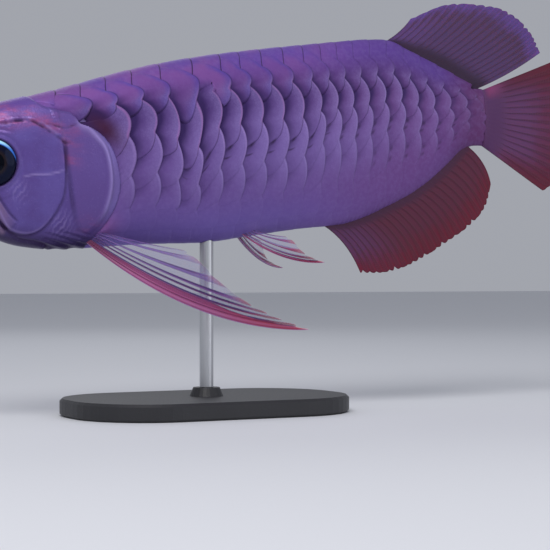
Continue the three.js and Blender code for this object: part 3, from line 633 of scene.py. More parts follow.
def skin_piece(finish):
    """Grid of rings. On the head x goes as a power of the share, so that the rings crowd at the snout."""
    front = SNOUT_X + (HEAD_END - SNOUT_X) * (np.arange(HEAD_RINGS) / HEAD_RINGS) ** CROWDING
    x = np.r_[front, np.linspace(HEAD_END, TAIL_X, BODY_RINGS)]
    turn = np.linspace(-180, 180, RING_POINTS, endpoint=False)
    x, turn = (a.ravel() for a in np.meshgrid(x, turn, indexing="ij"))
    smooth = skin_at_angle(x, turn)
    height, masks = blend(UNDER_SCALES, UNDER_LAST_SCALES, smooth_step(x, *LAST_SCALES)), {}
    near = x < RELIEF_END
    height_near, masks_near = head_relief(x[near], smooth[near, 2], eye_distance(smooth[near]))
    height[near] = blend(UNDER_SCALES, height_near, masks_near["head"])
    for key, mask in masks_near.items():
        masks[key] = np.zeros(len(x))
        masks[key][near] = mask
    centre_fade = smooth_step(np.abs(smooth[:, 1]), 0.0, 1.5)
    height = np.where(near & (smooth[:, 2] > 170), height * blend(0.4, 1, centre_fade), height)
    points = skin_at_angle(x, turn, height)
    rings = HEAD_RINGS + BODY_RINGS
    ends = [points[:RING_POINTS].mean(0), points[-RING_POINTS:].mean(0)]
    first, last = np.arange(RING_POINTS), np.arange((rings - 1) * RING_POINTS, rings * RING_POINTS)
    faces = [
        grid_faces(rings, RING_POINTS, wrap=True)[:, ::-1],
        fan_faces(first, len(points)),
        fan_faces(last[::-1], len(points) + 1),
    ]
    values = {**body_values(points, turn), **masks}
    values = {key: np.r_[value, value[0], value[-1]] for key, value in values.items()}
    flesh = ["head", "lower_jaw", "gill_cover_left", "gill_cover_right", "trunk", "tail"]
    return make_piece("skin", np.vstack([points, ends]), faces, finish, flesh, values)


# %% Skin finish
def skin_finish():
    finish = Finish(
        "arowana skin", Specular_IOR_Level=0.35, Coat_Roughness=0.25, Specular_Tint=(0.6, 0.5, 0.85),
        Subsurface_Weight=0.06, Subsurface_Scale=0.004, Subsurface_Radius=(1.0, 0.4, 0.5))
    around, crease, gleam = finish.value("round"), finish.value("crease"), finish.value("gleam")
    cloud, speckle = finish.noise(60.0, 4.0), finish.noise(900.0, 2.0)
    cheek = finish.mix(cloud.ramp(0.3, 0.7) * 0.5, "cheek", "shoulder")
    streaks = finish.noise(240.0, 4.0, 0.6, at=finish.stretched(0.35, 1.0, 1.0))
    head = finish.coats(
        "back",
        (around.ramp(0.10, 0.30), cheek),
        (finish.value("gill") * 0.8, "gill"),
        (finish.value("blush") * (streaks.ramp(0.42, 0.68) * 0.75 + 0.15), "blush"),
        (finish.value("jaw"), "jaw"),
        (around.ramp(0.74, 0.92), "throat"),
        (finish.value("lips") * 0.65, "lip"),
    )
    colour = finish.coats(
        body_paint(finish),
        (finish.value("head"), head),
        # painted highlights on the ridges, then painted shade in the grooves
        (gleam * 0.75, "gleam"),
        (crease * 0.8, "crease"),
        (speckle.ramp(0.58, 0.78) * 0.14, "gleam"),
    )
    striae = finish.noise(150.0, 5.0, 0.65, at=finish.stretched(1.0, 1.0, 0.35))
    pores = finish.cells(1100.0, "F1")
    relief = striae * 0.6 + pores * 0.25 + finish.noise(500.0, 3.0) * 0.3
    return finish.wear(
        Base_Color=colour,
        Roughness=0.34 + cloud * 0.14 + crease * 0.2,
        Metallic=0.22 + gleam * 0.2 - crease * 0.2,
        Coat_Weight=0.2 - crease * 0.15,
        Normal=finish.bump(relief, 0.0006, 0.55),
    )


skin = skin_piece(skin_finish())

# %% [markdown]
# ## Scales
#
# Five rows of large scales cover each flank, with one row along the middle of the back and one under the
# belly. Each is a thin bowed plate. Its root lies under the plates in front of it, it rises towards its
# free rear edge, and that edge bulges backwards, so the edges of one column draw a scalloped line down the
# flank. The plates of a row are worked out together, as one array of scale, across and along.

# %% Where the scales are
ROW_ENDS = [40.0, 57.0, 82.0, 106.0, 128.5, 151.0]
FIRST_COLUMN, LAST_COLUMN = -2, 19
side_column = curve_through(
    [(-4, -115), (-1, -69), (0, -53.5), (1, -37.5), (3, -12), (8, 58.1), (12, 105.5), (18, 181.3), (20, 207)])
back_column = curve_through(
    [(-4, -123.5), (0, -66), (2, -32.8), (3, -12.6), (5, 5.7), (9, 60.8), (12, 96), (18, 172), (20, 199)])
EDGE_SWING, BELLY_SWING = (30, 92), (95, 115)
FLANK_SCALLOP, BELLY_SCALLOP = 0.25, 0.15
LAST_EDGE = TAIL_X - 0.5
scale_relief = curve_through([(-80, 1.25), (60, 1.0), (197, 0.6)])


def column_edge(index, angle):
    """Free edge of a column: from back to flank by the swing, less scallop pitch (2 share - 1) squared."""
    ends = np.array([-ROW_ENDS[0], *ROW_ENDS, 360 - ROW_ENDS[-1]])
    row = np.clip(np.searchsorted(ends, angle, side="right") - 1, 0, len(ends) - 2)
    share = (angle - ends[row]) / (ends[row + 1] - ends[row])
    angle = fold(angle)
    reach = blend(back_column(index), side_column(index), smooth_step(angle, *EDGE_SWING))
    scallop = blend(FLANK_SCALLOP, BELLY_SCALLOP, smooth_step(angle, *BELLY_SWING))
    pitch = side_column(index) - side_column(index - 1)
    return np.minimum(reach - scallop * pitch * (2 * share - 1) ** 2, LAST_EDGE)


def row_shift(x, angle):
    """Degrees by which a row wanders at a station: down where a column ends, and up further back."""
    dip = 12 * bell(x + 19, 10) * smooth_step(angle, 45, 66)
    rise = 8 * (smooth_step(x, 58, 72) - smooth_step(x, 120, 165)) * smooth_step(angle, 57, 106)
    return (dip - rise) * (1 - smooth_step(angle, 115, 145))


# %% [markdown]
# The border between two rows is a saw-tooth. Along one scale it swings by the same rule, from the front of
# the part that shows (share 0) to the free edge (share 1). So the second row's scales are nearly round, and
# those below them are leaf-shaped with a point at the top. The upper row overlaps the lower one, and the
# second row overlaps the one along the back too. In the two rows nearest the back one column is missing.

# %% Row borders
SAW = [-20.0, 12.8, 14.0, 10.0, 4.0, 0.0]
SAW_POWER = [1.4, 1.6, 1.8, 1.8, 1.8, 1.8]
MISSING_COLUMN = 4
GAP_TOP = 53.0


def row_border(number, share):
    """Angle of a border: its end value plus saw * (1 - share to the saw's power)."""
    return ROW_ENDS[number] + SAW[number] * (1 - np.clip(share, 0, 1) ** SAW_POWER[number])


def row_limits(row, share, column):
    """Both borders of a row, numbered from the back. By the missing column the third row reaches higher."""
    if row == 0:
        return -row_border(0, share), row_border(0, share)
    if row == len(ROW_ENDS):
        return row_border(row - 1, share), 360 - row_border(row - 1, share)
    low, high = row_border(row - 1, share), row_border(row, share)
    if row == 1:
        wide = blend(GAP_TOP, row_border(1, 2 * share - 1), smooth_step(share, 0.42, 0.52))
        high = np.where(column == MISSING_COLUMN + 1, wide, high)
    if row == 2:
        low = np.where(column == MISSING_COLUMN, GAP_TOP, low)
    return low, high


# %% Plates as one array
SCALE_ACROSS, SCALE_ALONG = 21, 21
SCALE_THICK = 0.38
COVERED = 0.55
TUCK, LAP = 0.2, 0.02
BOW, RIM_OUT, REAR_CROWDING = 0.2, 0.16, 1.35
FLUSH, FLUSH_FROM, HIDDEN = -0.55, (183, 192), -3.2
HEAD_REACH, FAR_BEHIND = -40, 99
DIPS = [(0.25, 0.25), (0, 0), (0.35, 0), (0.22, 0), (0.1, 0), (0.05, 0), (0.05, 0.05)]


def plate_depth(x, folded):
    """1 where a plate stands out most. Less along the back, and fading on the belly and the tail."""
    depth = smooth_step(folded, 46, 60) * blend(1, 0.75, smooth_step(folded, 88, 104))
    depth = depth * blend(1, 0.08, smooth_step(folded, 108, 132))
    return depth * blend(1, 0.5, smooth_step(x, 120, 195)) * blend(1, 0.2, smooth_step(x, 180, 194))


def under_head(x, smooth, lift):
    """The lift, lowered so that the first plates come out from under the gill cover and the nape."""
    behind, _ = line_distance(smooth[..., 0].ravel(), smooth[..., 2].ravel(), GILL_EDGE)
    nape = on_nape(smooth[..., 0], smooth[..., 2])
    behind = np.where(x < HEAD_REACH, behind.reshape(x.shape), FAR_BEHIND) - NAPE_COVER * nape
    lift = np.minimum(lift, blend(0.6 * np.maximum(behind, 0) - 0.7, 0.15 * behind + 0.1, nape))
    return blend(lift, HIDDEN, smooth_step((-behind - 4 * nape) / (1 + nape), 0.8, 2.6))


def scale_plates(row, columns, before, side):
    """Closed plates. A side that dips tucks under its neighbour, and the other side laps just over it."""
    column, last_column = (np.asarray(v, float)[:, None, None] for v in (columns, before))
    dip_low, dip_high = DIPS[row]
    across = np.linspace(-1, 1, SCALE_ACROSS)[None, :, None] * (side or 1)
    tuck = np.where(across < 0, TUCK if dip_low else LAP, TUCK if dip_high else LAP)
    across = across * (1 + tuck)
    along = (1 - (1 - np.linspace(0, 1, SCALE_ALONG)) ** REAR_CROWDING)[None, None, :]
    shown = blend(-COVERED, 1.0, along)
    low, high = row_limits(row, shown, column)
    home = (low + high) / 2 + (high - low) / 2 * across
    edge, last = column_edge(column, home), column_edge(last_column, home)
    at_rim = smooth_step(along, 0.955, 1.0)
    x = np.maximum(last + shown * (edge - last) + RIM_OUT * at_rim, SNOUT_X + 1)
    turn = (home + (row_shift(x, home) if side else 0)) * (side or 1)
    folded = fold(home)
    depth = plate_depth(x, folded)
    smooth = skin_at_angle(x, turn)

    relief = scale_relief(x) * blend(0.3, 1, depth) * blend(1, 0.3, smooth_step(folded, 118, 142))
    low_side, high_side = 1 - smooth_step(across, -1, -0.4), smooth_step(across, 0.4, 1)
    lift = relief * (shown - 1 - dip_low * low_side - dip_high * high_side)
    lift = lift + BOW * np.sin(np.pi * np.clip(shown, 0, 1)) * relief * (1 - np.minimum(across**2, 1))
    lift = lift - 0.22 * at_rim - 0.2 * smooth_step(np.abs(across) - tuck, 0.9, 1.0)
    lift = under_head(x, smooth, lift)
    lift = blend(lift, FLUSH, 0.8 * smooth_step(x, *FLUSH_FROM))
    thick = SCALE_THICK * blend(1.0, 0.7, np.minimum(np.abs(across), 1)) * blend(0.5, 1, along)

    # Painted shadow: dark over the front of each plate, just behind the edges before it, and in its upper
    # front corner; weaker on the rows near the back and stronger on the front columns.
    front = 0.68 * (1 - smooth_step(shown, -0.05, 0.46)) + 0.36 * (1 - smooth_step(shown, 0, 0.95))
    front = front * blend(0.45, 1, smooth_step(-home, -100, -78)) * blend(1.25, 1, smooth_step(x, -20, 60))
    corner = 0.4 * (1 - smooth_step(shown, 0.1, 0.8)) * (1 - smooth_step(across, -1, -0.1))
    values = {
        "shown": shown, "across": across, "row": float(row), "tone": dice.random((len(columns), 1, 1)),
        "depth": depth, "shadow": np.clip(front + corner, 0, 1) * depth, **body_values(smooth, turn),
    }
    values = {key: np.broadcast_to(value, x.shape) for key, value in values.items()}
    return skin_at_angle(x, turn, lift), skin_at_angle(x, turn, lift - thick), values


def scale_piece(name, rows, grid, finish):
    """Joins top, underside and rim of every plate. Each plate has its own cell of the bake map."""
    parts = [scale_plates(row, columns, before, side) for row, columns, before, side in rows]
    top, bottom = (np.concatenate([part[n] for part in parts]) for n in (0, 1))
    values = {key: np.concatenate([part[2][key] for part in parts]) for key in parts[0][2]}
    cell = [(place, number) for number, row in enumerate(rows) for place in range(len(row[1]))]
    count, size = len(cell), SCALE_ACROSS * SCALE_ALONG
    points = np.stack([side.reshape(count, size, 3) for side in (top, bottom)], axis=1).reshape(-1, 3)
    upper = grid_faces(SCALE_ACROSS, SCALE_ALONG)
    rim = rim_of(SCALE_ACROSS, SCALE_ALONG)
    after = np.roll(rim, -1)
    wall = np.stack([after, rim, rim + size, after + size], axis=-1)
    one = np.concatenate([upper, upper[:, ::-1] + size, wall])
    quads = (one[None] + np.arange(count)[:, None, None] * 2 * size).reshape(-1, 4)
    values = {key: value.reshape(count, 1, size).repeat(2, axis=1).ravel() for key, value in values.items()}

    u, v = np.meshgrid(
        np.linspace(0.04, 0.80, SCALE_ACROSS), np.linspace(0.04, 0.96, SCALE_ALONG), indexing="ij")
    u, v = u.ravel(), v.ravel()
    shown, under, strip = (np.stack([v, across], axis=-1) for across in (u, 0.86 + 0.04 * u, 0.93 + 0.03 * u))
    both = np.concatenate([shown, under])
    corner = np.concatenate([both[one[: 2 * len(upper)]], strip[wall % size]])
    origin = np.asarray(cell, float)[:, None, None, :]
    bake = (origin + corner[None]) / np.array(grid)
    return make_piece(name, points, [quads], finish, (), values, bake.reshape(-1, 2))


# %% [markdown]
# Each scale has a painted highlight at its free edge and a painted shadow over its front, just behind its
# neighbours' edges. On the two rows nearest the back the edges are thin dark lines instead, and each scale
# of the lower one has a rosy glow in its middle. The surface has fine rings of growth parallel to the edge,
# and a mosaic of pale cells. The row along the middle of the flank is marked with two short dark strokes a
# scale: a level one for the lateral line, and a diagonal one along the border with the row above, partly
# its pores and partly painted shade. Near the tail they turn into rows of spots, painted shade at the front
# of each scale.

# %% Scale finish
def scale_finish():
    finish = Finish(
        "pearly scale", Specular_IOR_Level=0.3, Coat_Roughness=0.3, Specular_Tint=(0.6, 0.5, 0.85))
    shown, across, row = finish.value("shown"), finish.value("across"), finish.value("row")
    tone, along, depth = finish.value("tone"), finish.value("along"), finish.value("depth")
    fine = finish.noise(700.0, 4.0, 0.65)
    mosaic = finish.cells(620.0).ramp(0.02, 0.16)
    second, third, fourth, fifth = (row.peak(number, 0.5) for number in (1.0, 2.0, 3.0, 4.0))

    ahead = 1 - along.ramp(0.45, 0.75)
    inner = 1 - (shown - 0.45).math("ABSOLUTE").ramp(0.22, 0.55)
    inner = inner * (1 - across.math("ABSOLUTE").ramp(0.45, 1.0))
    colour = finish.coats(
        body_paint(finish),
        (second * inner * ahead * (0.35 + tone * 0.4), "rosy_back"),
        (second * (1 - inner) * shown.ramp(0.3, 0.8) * ahead * 0.6, "blue_rim"),
        (finish.value("shadow"), "shade"),
    )
    # Painted highlight: the colour turns lighter towards each scale's free edge, and a light rim runs along
    # the free and lower edges, rosy on the front of the rows near the back.
    bright = finish.mix(0.52, colour, "gleam")
    lower_edge = across.peak(0.97, 0.07) * shown.ramp(0.45, 0.8)
    rim = (shown.peak(0.955, 0.07) + lower_edge * 0.35).math("MINIMUM", 1.0) * depth
    edge_highlight = finish.mix((1 - row.ramp(2.2, 3.4)) * (1 - along.ramp(0.45, 0.8)), "gleam", "rosy_highlight")

    near_back = (1 - row.ramp(1.2, 1.6)) * (1 - along.ramp(0.55, 0.85))
    line = shown.peak(0.985, 0.04) * (1 - second * 0.45) + across.peak(-0.98, 0.045) * second
    line = line + across.peak(0.98, 0.05) * second * 0.5 * (1 - along.ramp(0.25, 0.45))

    # Marks of the middle row: a level stroke for the lateral line, a diagonal stroke along the row above that
    # is partly its pores and partly painted shade, and spots near the tail, on this row and the one below,
    # that are painted shade at each scale's front.
    middle = along.ramp(0.36, 0.44) * (1 - along.ramp(0.62, 0.72))
    diagonal = (fourth * across.peak(-0.98, 0.16) + third * across.peak(0.96, 0.10)) * shown.peak(0.24, 0.22)
    level = fourth * (across + 0.5 - shown * 0.35).peak(0.0, 0.10) * shown.peak(0.18, 0.26)
    spots = fourth * (across.peak(-0.75, 0.3) + across.peak(-0.12, 0.25)) * along.ramp(0.62, 0.7)
    spots = spots + fifth * (across.peak(-0.7, 0.3) + across.peak(0.0, 0.28)) * along.ramp(0.68, 0.8) * 0.8
    spots = spots * shown.peak(0.14, 0.15) * (1 - along.ramp(0.93, 0.98))
    marks = ((diagonal + level) * middle + spots * 0.8) * (0.5 + fine)
    colour = finish.coats(
        colour,
        # painted highlight towards the free edge, then the painted light rim
        (shown.ramp(0.3, 0.98) * (0.30 + mosaic * 0.2 + fine * 0.3) * depth, bright),
        (rim * (0.35 + tone * 0.25), edge_highlight),
        (line.math("MINIMUM", 1.0) * near_back * (0.55 + fine * 0.5), "crease"),
        (marks.math("MINIMUM", 1.0) * 0.8, "crease"),
        ((tone - 0.5).math("ABSOLUTE") * 0.2, "shoulder"),
        # painted shadow behind the top of the gill cover, over the first scales
        (finish.value("gill_shadow") * 0.85, "gill_shadow"),
    )
    rings = (shown * 150.0 + across * across * 24.0).math("SINE")
    rays = finish.noise(260.0, 2.0, at=finish.stretched(0.25, 1.0, 1.0))
    relief = rings * 0.06 + mosaic * 0.2 + rays * 0.3 + fine * 0.3
    return finish.wear(
        Base_Color=colour,
        Roughness=0.42 + (1 - mosaic) * 0.06 + tone * 0.06,
        Metallic=0.15 + shown.ramp(0.2, 0.9) * depth * 0.25,
        Coat_Weight=0.06 + shown.ramp(0.5, 1.0) * depth * 0.12,
        Normal=finish.bump(relief, 0.0002, 0.5),
    )


# %% The rows of scales
scale_look = scale_finish()
back_columns = [column for column in range(FIRST_COLUMN, LAST_COLUMN + 1) if column != MISSING_COLUMN]
flank_columns = list(range(0, LAST_COLUMN + 1))


def row_of_scales(row, columns, side=0):
    """A row's number, its columns, the column before each of them, and its side, 0 for both."""
    return row, columns, [columns[0] - 1.5, *columns[:-1]], side


for side, word in SIDES:
    rows = [row_of_scales(1, back_columns[1:], side)]
    rows += [row_of_scales(row, flank_columns, side) for row in (2, 3, 4, 5)]
    scale_piece(f"scales_{word}", rows, (LAST_COLUMN - FIRST_COLUMN + 1, len(rows)), scale_look)

# %% [markdown]
# The rows on the back and under the belly straddle the middle, so each of their plates is one piece across
# it.

# %% Back and belly rows
for word, row, columns in (("back", 0, back_columns), ("belly", len(ROW_ENDS), flank_columns)):
    scale_piece(f"scales_{word}", [row_of_scales(row, columns)], (len(columns), 1), scale_look)

# %% [markdown]
# ## Eyes
#
# The eye is large and sits flush in a bony ring. It is one glassy ball, flatter in front than behind. Its
# colours are rings about its own axis: a black pupil, a dark iris with a bronze inner edge, and above them
# a painted reflection, a bright blue arc with a whitish highlight at its top, where light comes through the
# clear rim.

# %% Eye
def eye_finish():
    finish = Finish(
        "wet eye", Specular_IOR_Level=0.2, Specular_Tint=(0.5, 0.6, 1.0), Coat_Roughness=0.02, Roughness=0.07)
    ring, height = finish.value("ring"), finish.value("height")
    streaks = finish.noise(800.0, 4.0)
    lower = 0.96 - height.math("MAXIMUM", 0.0) * 0.22
    colour = finish.coats(
        finish.mix(streaks, shade(20, 16, 20), shade(44, 32, 28)),
        (ring.ramp(0.46, 0.66), finish.mix(streaks, shade(6, 8, 20), shade(14, 18, 44))),
        # painted reflection on the upper side: a blue arc, then a whitish highlight at its top
        (((ring - lower) * 14.0).ramp(0.0, 1.0) * height.ramp(-0.35, 0.3), shade(62, 118, 214)),
        (((ring - lower) * 9.0).ramp(0.4, 1.0) * height.ramp(0.5, 0.95), shade(176, 232, 255)),
        (ring.ramp(0.97, 1.0), shade(26, 22, 50)),
    )
    colour = finish.mix(ring.ramp(0.42, 0.46), shade(0, 0, 2), colour)
    return finish.wear(Base_Color=colour, Normal=finish.bump(streaks * ring.ramp(0.42, 0.5), 0.00008, 0.3))


def eye_piece(side, word, finish, rings=44, spokes=72):
    """Half an ellipse turned about the eye's axis: radius sin a, depth cos a, with a from front to back."""
    centre, along, up, out = eye_frame(side)
    a = np.linspace(0, np.pi, rings + 2)[1:-1]
    a, spoke = np.meshgrid(a, np.linspace(0, 2 * np.pi, spokes, endpoint=False), indexing="ij")
    a, spoke = a.ravel()[:, None], spoke.ravel()[:, None]
    depth = np.cos(a) * np.where(a < np.pi / 2, EYE["front"], EYE["rear"])
    across = EYE["radius"] * np.sin(a)
    points = centre + across * (np.cos(spoke) * along + np.sin(spoke) * up) + depth * out
    poles = [centre + EYE["front"] * out, centre - EYE["rear"] * out]
    faces = [
        grid_faces(rings, spokes, wrap=True),
        fan_faces(np.arange(spokes)[::-1], rings * spokes),
        fan_faces(np.arange((rings - 1) * spokes, rings * spokes), rings * spokes + 1),
    ]
    if side == LEFT:
        faces = [block[:, ::-1] for block in faces]
    ring = np.where(a < np.pi / 2, np.sin(a), 1.0).ravel()
    values = {"ring": np.r_[ring, 0, 1], "height": np.r_[(np.sin(spoke) * np.sin(a)).ravel(), 0, 0]}
    points = np.vstack([points, poles])
    return make_piece(f"eye_{word}_look", points, faces, finish, [f"eye_{word}"], values)


eye_look = eye_finish()
for side, word in SIDES:
    eye_piece(side, word, eye_look)

# %% [markdown]
# ## Barbels and nostrils
#
# Two feelers reach forwards from the tip of the chin. Each is a tube carried along a curve, thinner towards
# its tip. The same function makes the short tubes of the front nostrils.

# %% Tubes
def tube_piece(name, path, radii, finish, nodes=(), sides=20, count=70):
    """Rings of radius r(t) in the plane across the path. One axis of each ring stays square to the Y axis."""
    path = spline(path, count)
    radius = np.interp(np.linspace(0, 1, count), np.linspace(0, 1, len(radii)), radii)
    along = np.gradient(path, axis=0)
    along /= np.linalg.norm(along, axis=1, keepdims=True)
    aside = np.cross(along, [0.0, 1.0, 0.0])
    aside /= np.linalg.norm(aside, axis=1, keepdims=True)
    other = np.cross(along, aside)
    turn = np.linspace(0, 2 * np.pi, sides, endpoint=False)
    circle = np.cos(turn)[None, :, None] * aside[:, None] + np.sin(turn)[None, :, None] * other[:, None]
    points = (path[:, None] + radius[:, None, None] * circle).reshape(-1, 3)
    faces = [
        grid_faces(count, sides, wrap=True),
        fan_faces(np.arange(sides)[::-1], len(points)),
        fan_faces(np.arange((count - 1) * sides, count * sides), len(points) + 1),
    ]
    ends = path[0] - 0.3 * radius[0] * along[0], path[-1] + 0.6 * radius[-1] * along[-1]
    return make_piece(name, np.vstack([points, *ends]), faces, finish, nodes)


def barbel_finish():
    finish = Finish("soft feeler", Coat_Roughness=0.3, Subsurface_Weight=0.1, Subsurface_Scale=0.002)
    rings = finish.noise(900.0, 3.0)
    colour = finish.mix(rings, shade(112, 78, 128), shade(84, 56, 104))
    relief = finish.bump(rings, 0.0002, 0.5)
    return finish.wear(Base_Color=colour, Roughness=0.42 + rings * 0.15, Coat_Weight=0.3, Normal=relief)


BARBEL_PATH = [
    (-162, 4.5, 149.5), (-172, 5.6, 147.6), (-184, 7.6, 149.6), (-195, 10, 155.4), (-204, 12.5, 163.5),
]
BARBEL_RADII = [1.6, 1.35, 1.1, 0.9, 0.7, 0.4]
barbel_look = barbel_finish()
for side, word in SIDES:
    path = [(x, side * y, z) for x, y, z in BARBEL_PATH]
    tube_piece(f"barbel_{word}_look", path, BARBEL_RADII, barbel_look, [f"barbel_{word}"])

# %% Nostrils
NOSTRIL = {"x": -161.0, "z": 158.5, "radius": 1.5, "length": 2.6}
for side, word in SIDES:
    root, above = (skin_at_height(NOSTRIL["x"], NOSTRIL["z"], side, lift) for lift in (0.0, 1.0))
    out = above - root + [-0.8, 0, 0]
    out /= np.linalg.norm(out)
    path = [root + out * step for step in (-1.5, 0.0, 0.5 * NOSTRIL["length"], NOSTRIL["length"])]
    radii = [NOSTRIL["radius"] * share for share in (1.25, 1.1, 1.0, 0.95)]
    tube_piece(f"nostril_{word}_look", path, radii, barbel_look, count=14)

# %% [markdown]
# ## Fins
#
# A fin is a thin sheet stretched on bony rays. Close to the body each ray is one rod. Further out it forks,
# and its branches draw apart towards the margin. The sheet's thickness is worked out from the distance to
# the nearest branch, so membrane and rays are one closed surface, alike on both faces.

# %% Fin sheets
WEB = 0.5


def ray_forks(s, t, rays, fork, spread):
    """Place in ray spacings, and how far the branches and then the twigs have drawn apart at t."""
    place = s * (rays - 1)
    inner = smooth_step(np.minimum(place, rays - 1 - place), 0.2, 0.8)
    apart = spread * smooth_step(t, fork, 1.15) * inner
    twig = spread / 2 * smooth_step(t, (1 + 2 * fork) / 3, 1.15) * inner
    return place, apart, twig


def fin_piece(name, nodes, finish, point, rays, steps, per_ray, root, ray, fleshy,
              fork=0.38, spread=0.25, notch=0.03, width=0.14, ruffle=0.0, lead=0.0):
    """Point (s, t) plus or minus half the thickness along the sheet's normal, found from its neighbours."""
    columns = (rays - 1) * per_ray + 1
    s, t = np.meshgrid(np.linspace(0, 1, columns), np.linspace(0, 1, steps), indexing="ij")
    between = 1 - np.abs(np.cos(np.pi * s * (rays - 1)))
    depth = notch * (1 + 0.7 * np.sin(s * 37) + 0.5 * np.sin(s * 61 + 1))
    t_here = t * (1 - depth * between * smooth_step(t, 0.5, 1.0))
    middle = point(s, t_here)
    normal = np.cross(np.gradient(middle, axis=0), np.gradient(middle, axis=1))
    normal /= np.linalg.norm(normal, axis=-1, keepdims=True)
    middle = middle + normal * (ruffle * np.sin(s * 9.0 + t * 3.0) * t**2)[..., None]
    place, apart, twig = ray_forks(s, t_here, rays, fork, spread)
    offset = np.abs(np.abs(np.abs(place - np.round(place)) - apart) - twig)
    branch = bell(offset, width * blend(1, 0.6, smooth_step(t, fork, 1.0)))
    flesh = np.maximum(0, 1 - (t / fleshy) ** 1.4) ** 2 * (root(s) if callable(root) else root)
    thick = WEB * blend(1, 0.5, t) + branch * ray * blend(1, 0.35, t)
    thick = thick + lead * bell(place - 0.3, 0.34) * blend(1, 0.4, t)
    thick = np.maximum(flesh, thick) * blend(1, 0.35, smooth_step(t, 0.96, 1.0))
    half = normal * (thick / 2)[..., None]
    size = columns * steps
    points = np.concatenate([(middle + half).reshape(-1, 3), (middle - half).reshape(-1, 3)])
    quads = grid_faces(columns, steps)
    rim = rim_of(columns, steps)
    after = np.roll(rim, -1)
    faces = [quads[:, ::-1], quads + size, np.stack([rim, after, after + size, rim + size], axis=-1)]
    length = np.linalg.norm(point(s, np.ones_like(t)) - point(s, np.zeros_like(t)), axis=-1) * t
    values = {"reach": t, "spread": s, "length": length, "place": place, "apart": apart, "twig": twig}
    values = {key: np.tile(value.ravel(), 2) for key, value in values.items()}
    return make_piece(name, points, faces, finish, nodes, values)


# %% [markdown]
# The dorsal fin stands far back, the anal fin runs under the whole tail, and both hug a small round tail
# fin. Their margins are given as a few points, and every ray runs from the back or belly line to its place
# on the margin.

# %% Fins on the middle line
DORSAL = {
    "rays": 20, "base": (122.0, 191.5), "bow": 1.5,
    "tips": [(140, 238.5), (166, 249), (189, 251), (209, 249), (224, 242), (234, 233), (239, 223.5)],
}
ANAL = {
    "rays": 26, "base": (77.0, 181.0), "bow": -4.0,
    "tips": [
        (104, 81.3), (120, 81.6), (136, 85.3), (152, 92.3), (168, 101), (184, 111.3), (195, 123),
        (199.8, 137.5),
    ],
}
CAUDAL = {
    "rays": 16, "centre": (204.0, 179.0), "radius": 61.0, "top": 42.0, "bottom": -50.0, "corner": 0.05,
    "inset": 0.6, "overlap": 3.6,
}
SUNK = 4.0
MEDIAN_SAMPLES, PAIRED_SAMPLES = 600, 400
DORSAL_ROOT, ANAL_ROOT = 4.0, 4.2


def margin_through(tips, count):
    """The point at a share s of the smooth curve through the tips, from count samples of it."""
    samples = spline(tips, count)
    shares = np.linspace(0, 1, count)
    return lambda s: np.stack([np.interp(s, shares, axis) for axis in samples.T], axis=-1)


def median_point(fin, line):
    """Point t of the way from the sunk base at s to the margin at s, bowed in the fin by 4 bow t (1 - t)."""
    margin = margin_through(fin["tips"], MEDIAN_SAMPLES)

    def at(s, t):
        x = blend(fin["base"][0], fin["base"][1], s)
        tip = margin(s)
        base = np.stack([x, line(x)], axis=-1)
        ray = (tip - base) / np.linalg.norm(tip - base, axis=-1, keepdims=True)
        base = base - SUNK * ray
        across = np.stack([ray[..., 1], -ray[..., 0]], axis=-1)
        here = base + (tip - base) * t[..., None] + across * (4 * fin["bow"] * t * (1 - t))[..., None]
        return np.stack([here[..., 0], np.zeros_like(s), here[..., 1]], axis=-1)

    return at


def caudal_point(s, t):
    """From the end of the tail stalk out to an arc, with its two corners rounded off."""
    turn = np.radians(blend(CAUDAL["top"], CAUDAL["bottom"], s))
    reach = CAUDAL["radius"] * (1 - CAUDAL["corner"] * np.abs(2 * s - 1) ** 6)
    middle_x, middle_z = CAUDAL["centre"]
    tip = np.stack([middle_x + reach * np.cos(turn), 0 * s, middle_z + reach * np.sin(turn)], axis=-1)
    top, bottom = float(back_line(TAIL_X)) - CAUDAL["inset"], float(belly_line(TAIL_X)) + CAUDAL["inset"]
    base = np.stack([np.full_like(s, TAIL_X - CAUDAL["overlap"]), 0 * s, blend(top, bottom, s)], axis=-1)
    return base + (tip - base) * t[..., None]


def caudal_root(s):
    """Thickness where the fin grows out of the tail stalk: a rounded oval over the stalk's depth."""
    return 0.5 + (2 * float(half_width(TAIL_X)) - 1.5) * np.sqrt(np.maximum(0, 1 - (2 * s - 1) ** 2))


def dorsal_root(s):
    """Thickness where the fin grows out of the back: full, and thin at its rear end."""
    return DORSAL_ROOT * (1 - 0.75 * smooth_step(s, 0.86, 1.0))


# %% [markdown]
# The rays' colours are drawn by the same rule as their ridges: the distance to the nearest of the four
# twigs. These three fins are dark and smoky near the body. In the dorsal and the anal fin the foremost webs
# are paler than the others. The anal and the tail fin glow crimson at the margin, and the dorsal fin violet.
# The rays are cross-banded by joints, a little over a millimetre apart.

# %% Fin finishes
def twig_line(finish, width):
    """1 on a twig and 0 at a width away: ||place to the nearest whole number| - apart| - twig|."""
    place = finish.value("place") + (finish.noise(160.0, 3.0) - 0.5) * 0.10
    near = place.math("PINGPONG", 0.5)
    branch = (near - finish.value("apart")).math("ABSOLUTE")
    return 1 - ((branch - finish.value("twig")).math("ABSOLUTE") / width).ramp(0.25, 1.0)


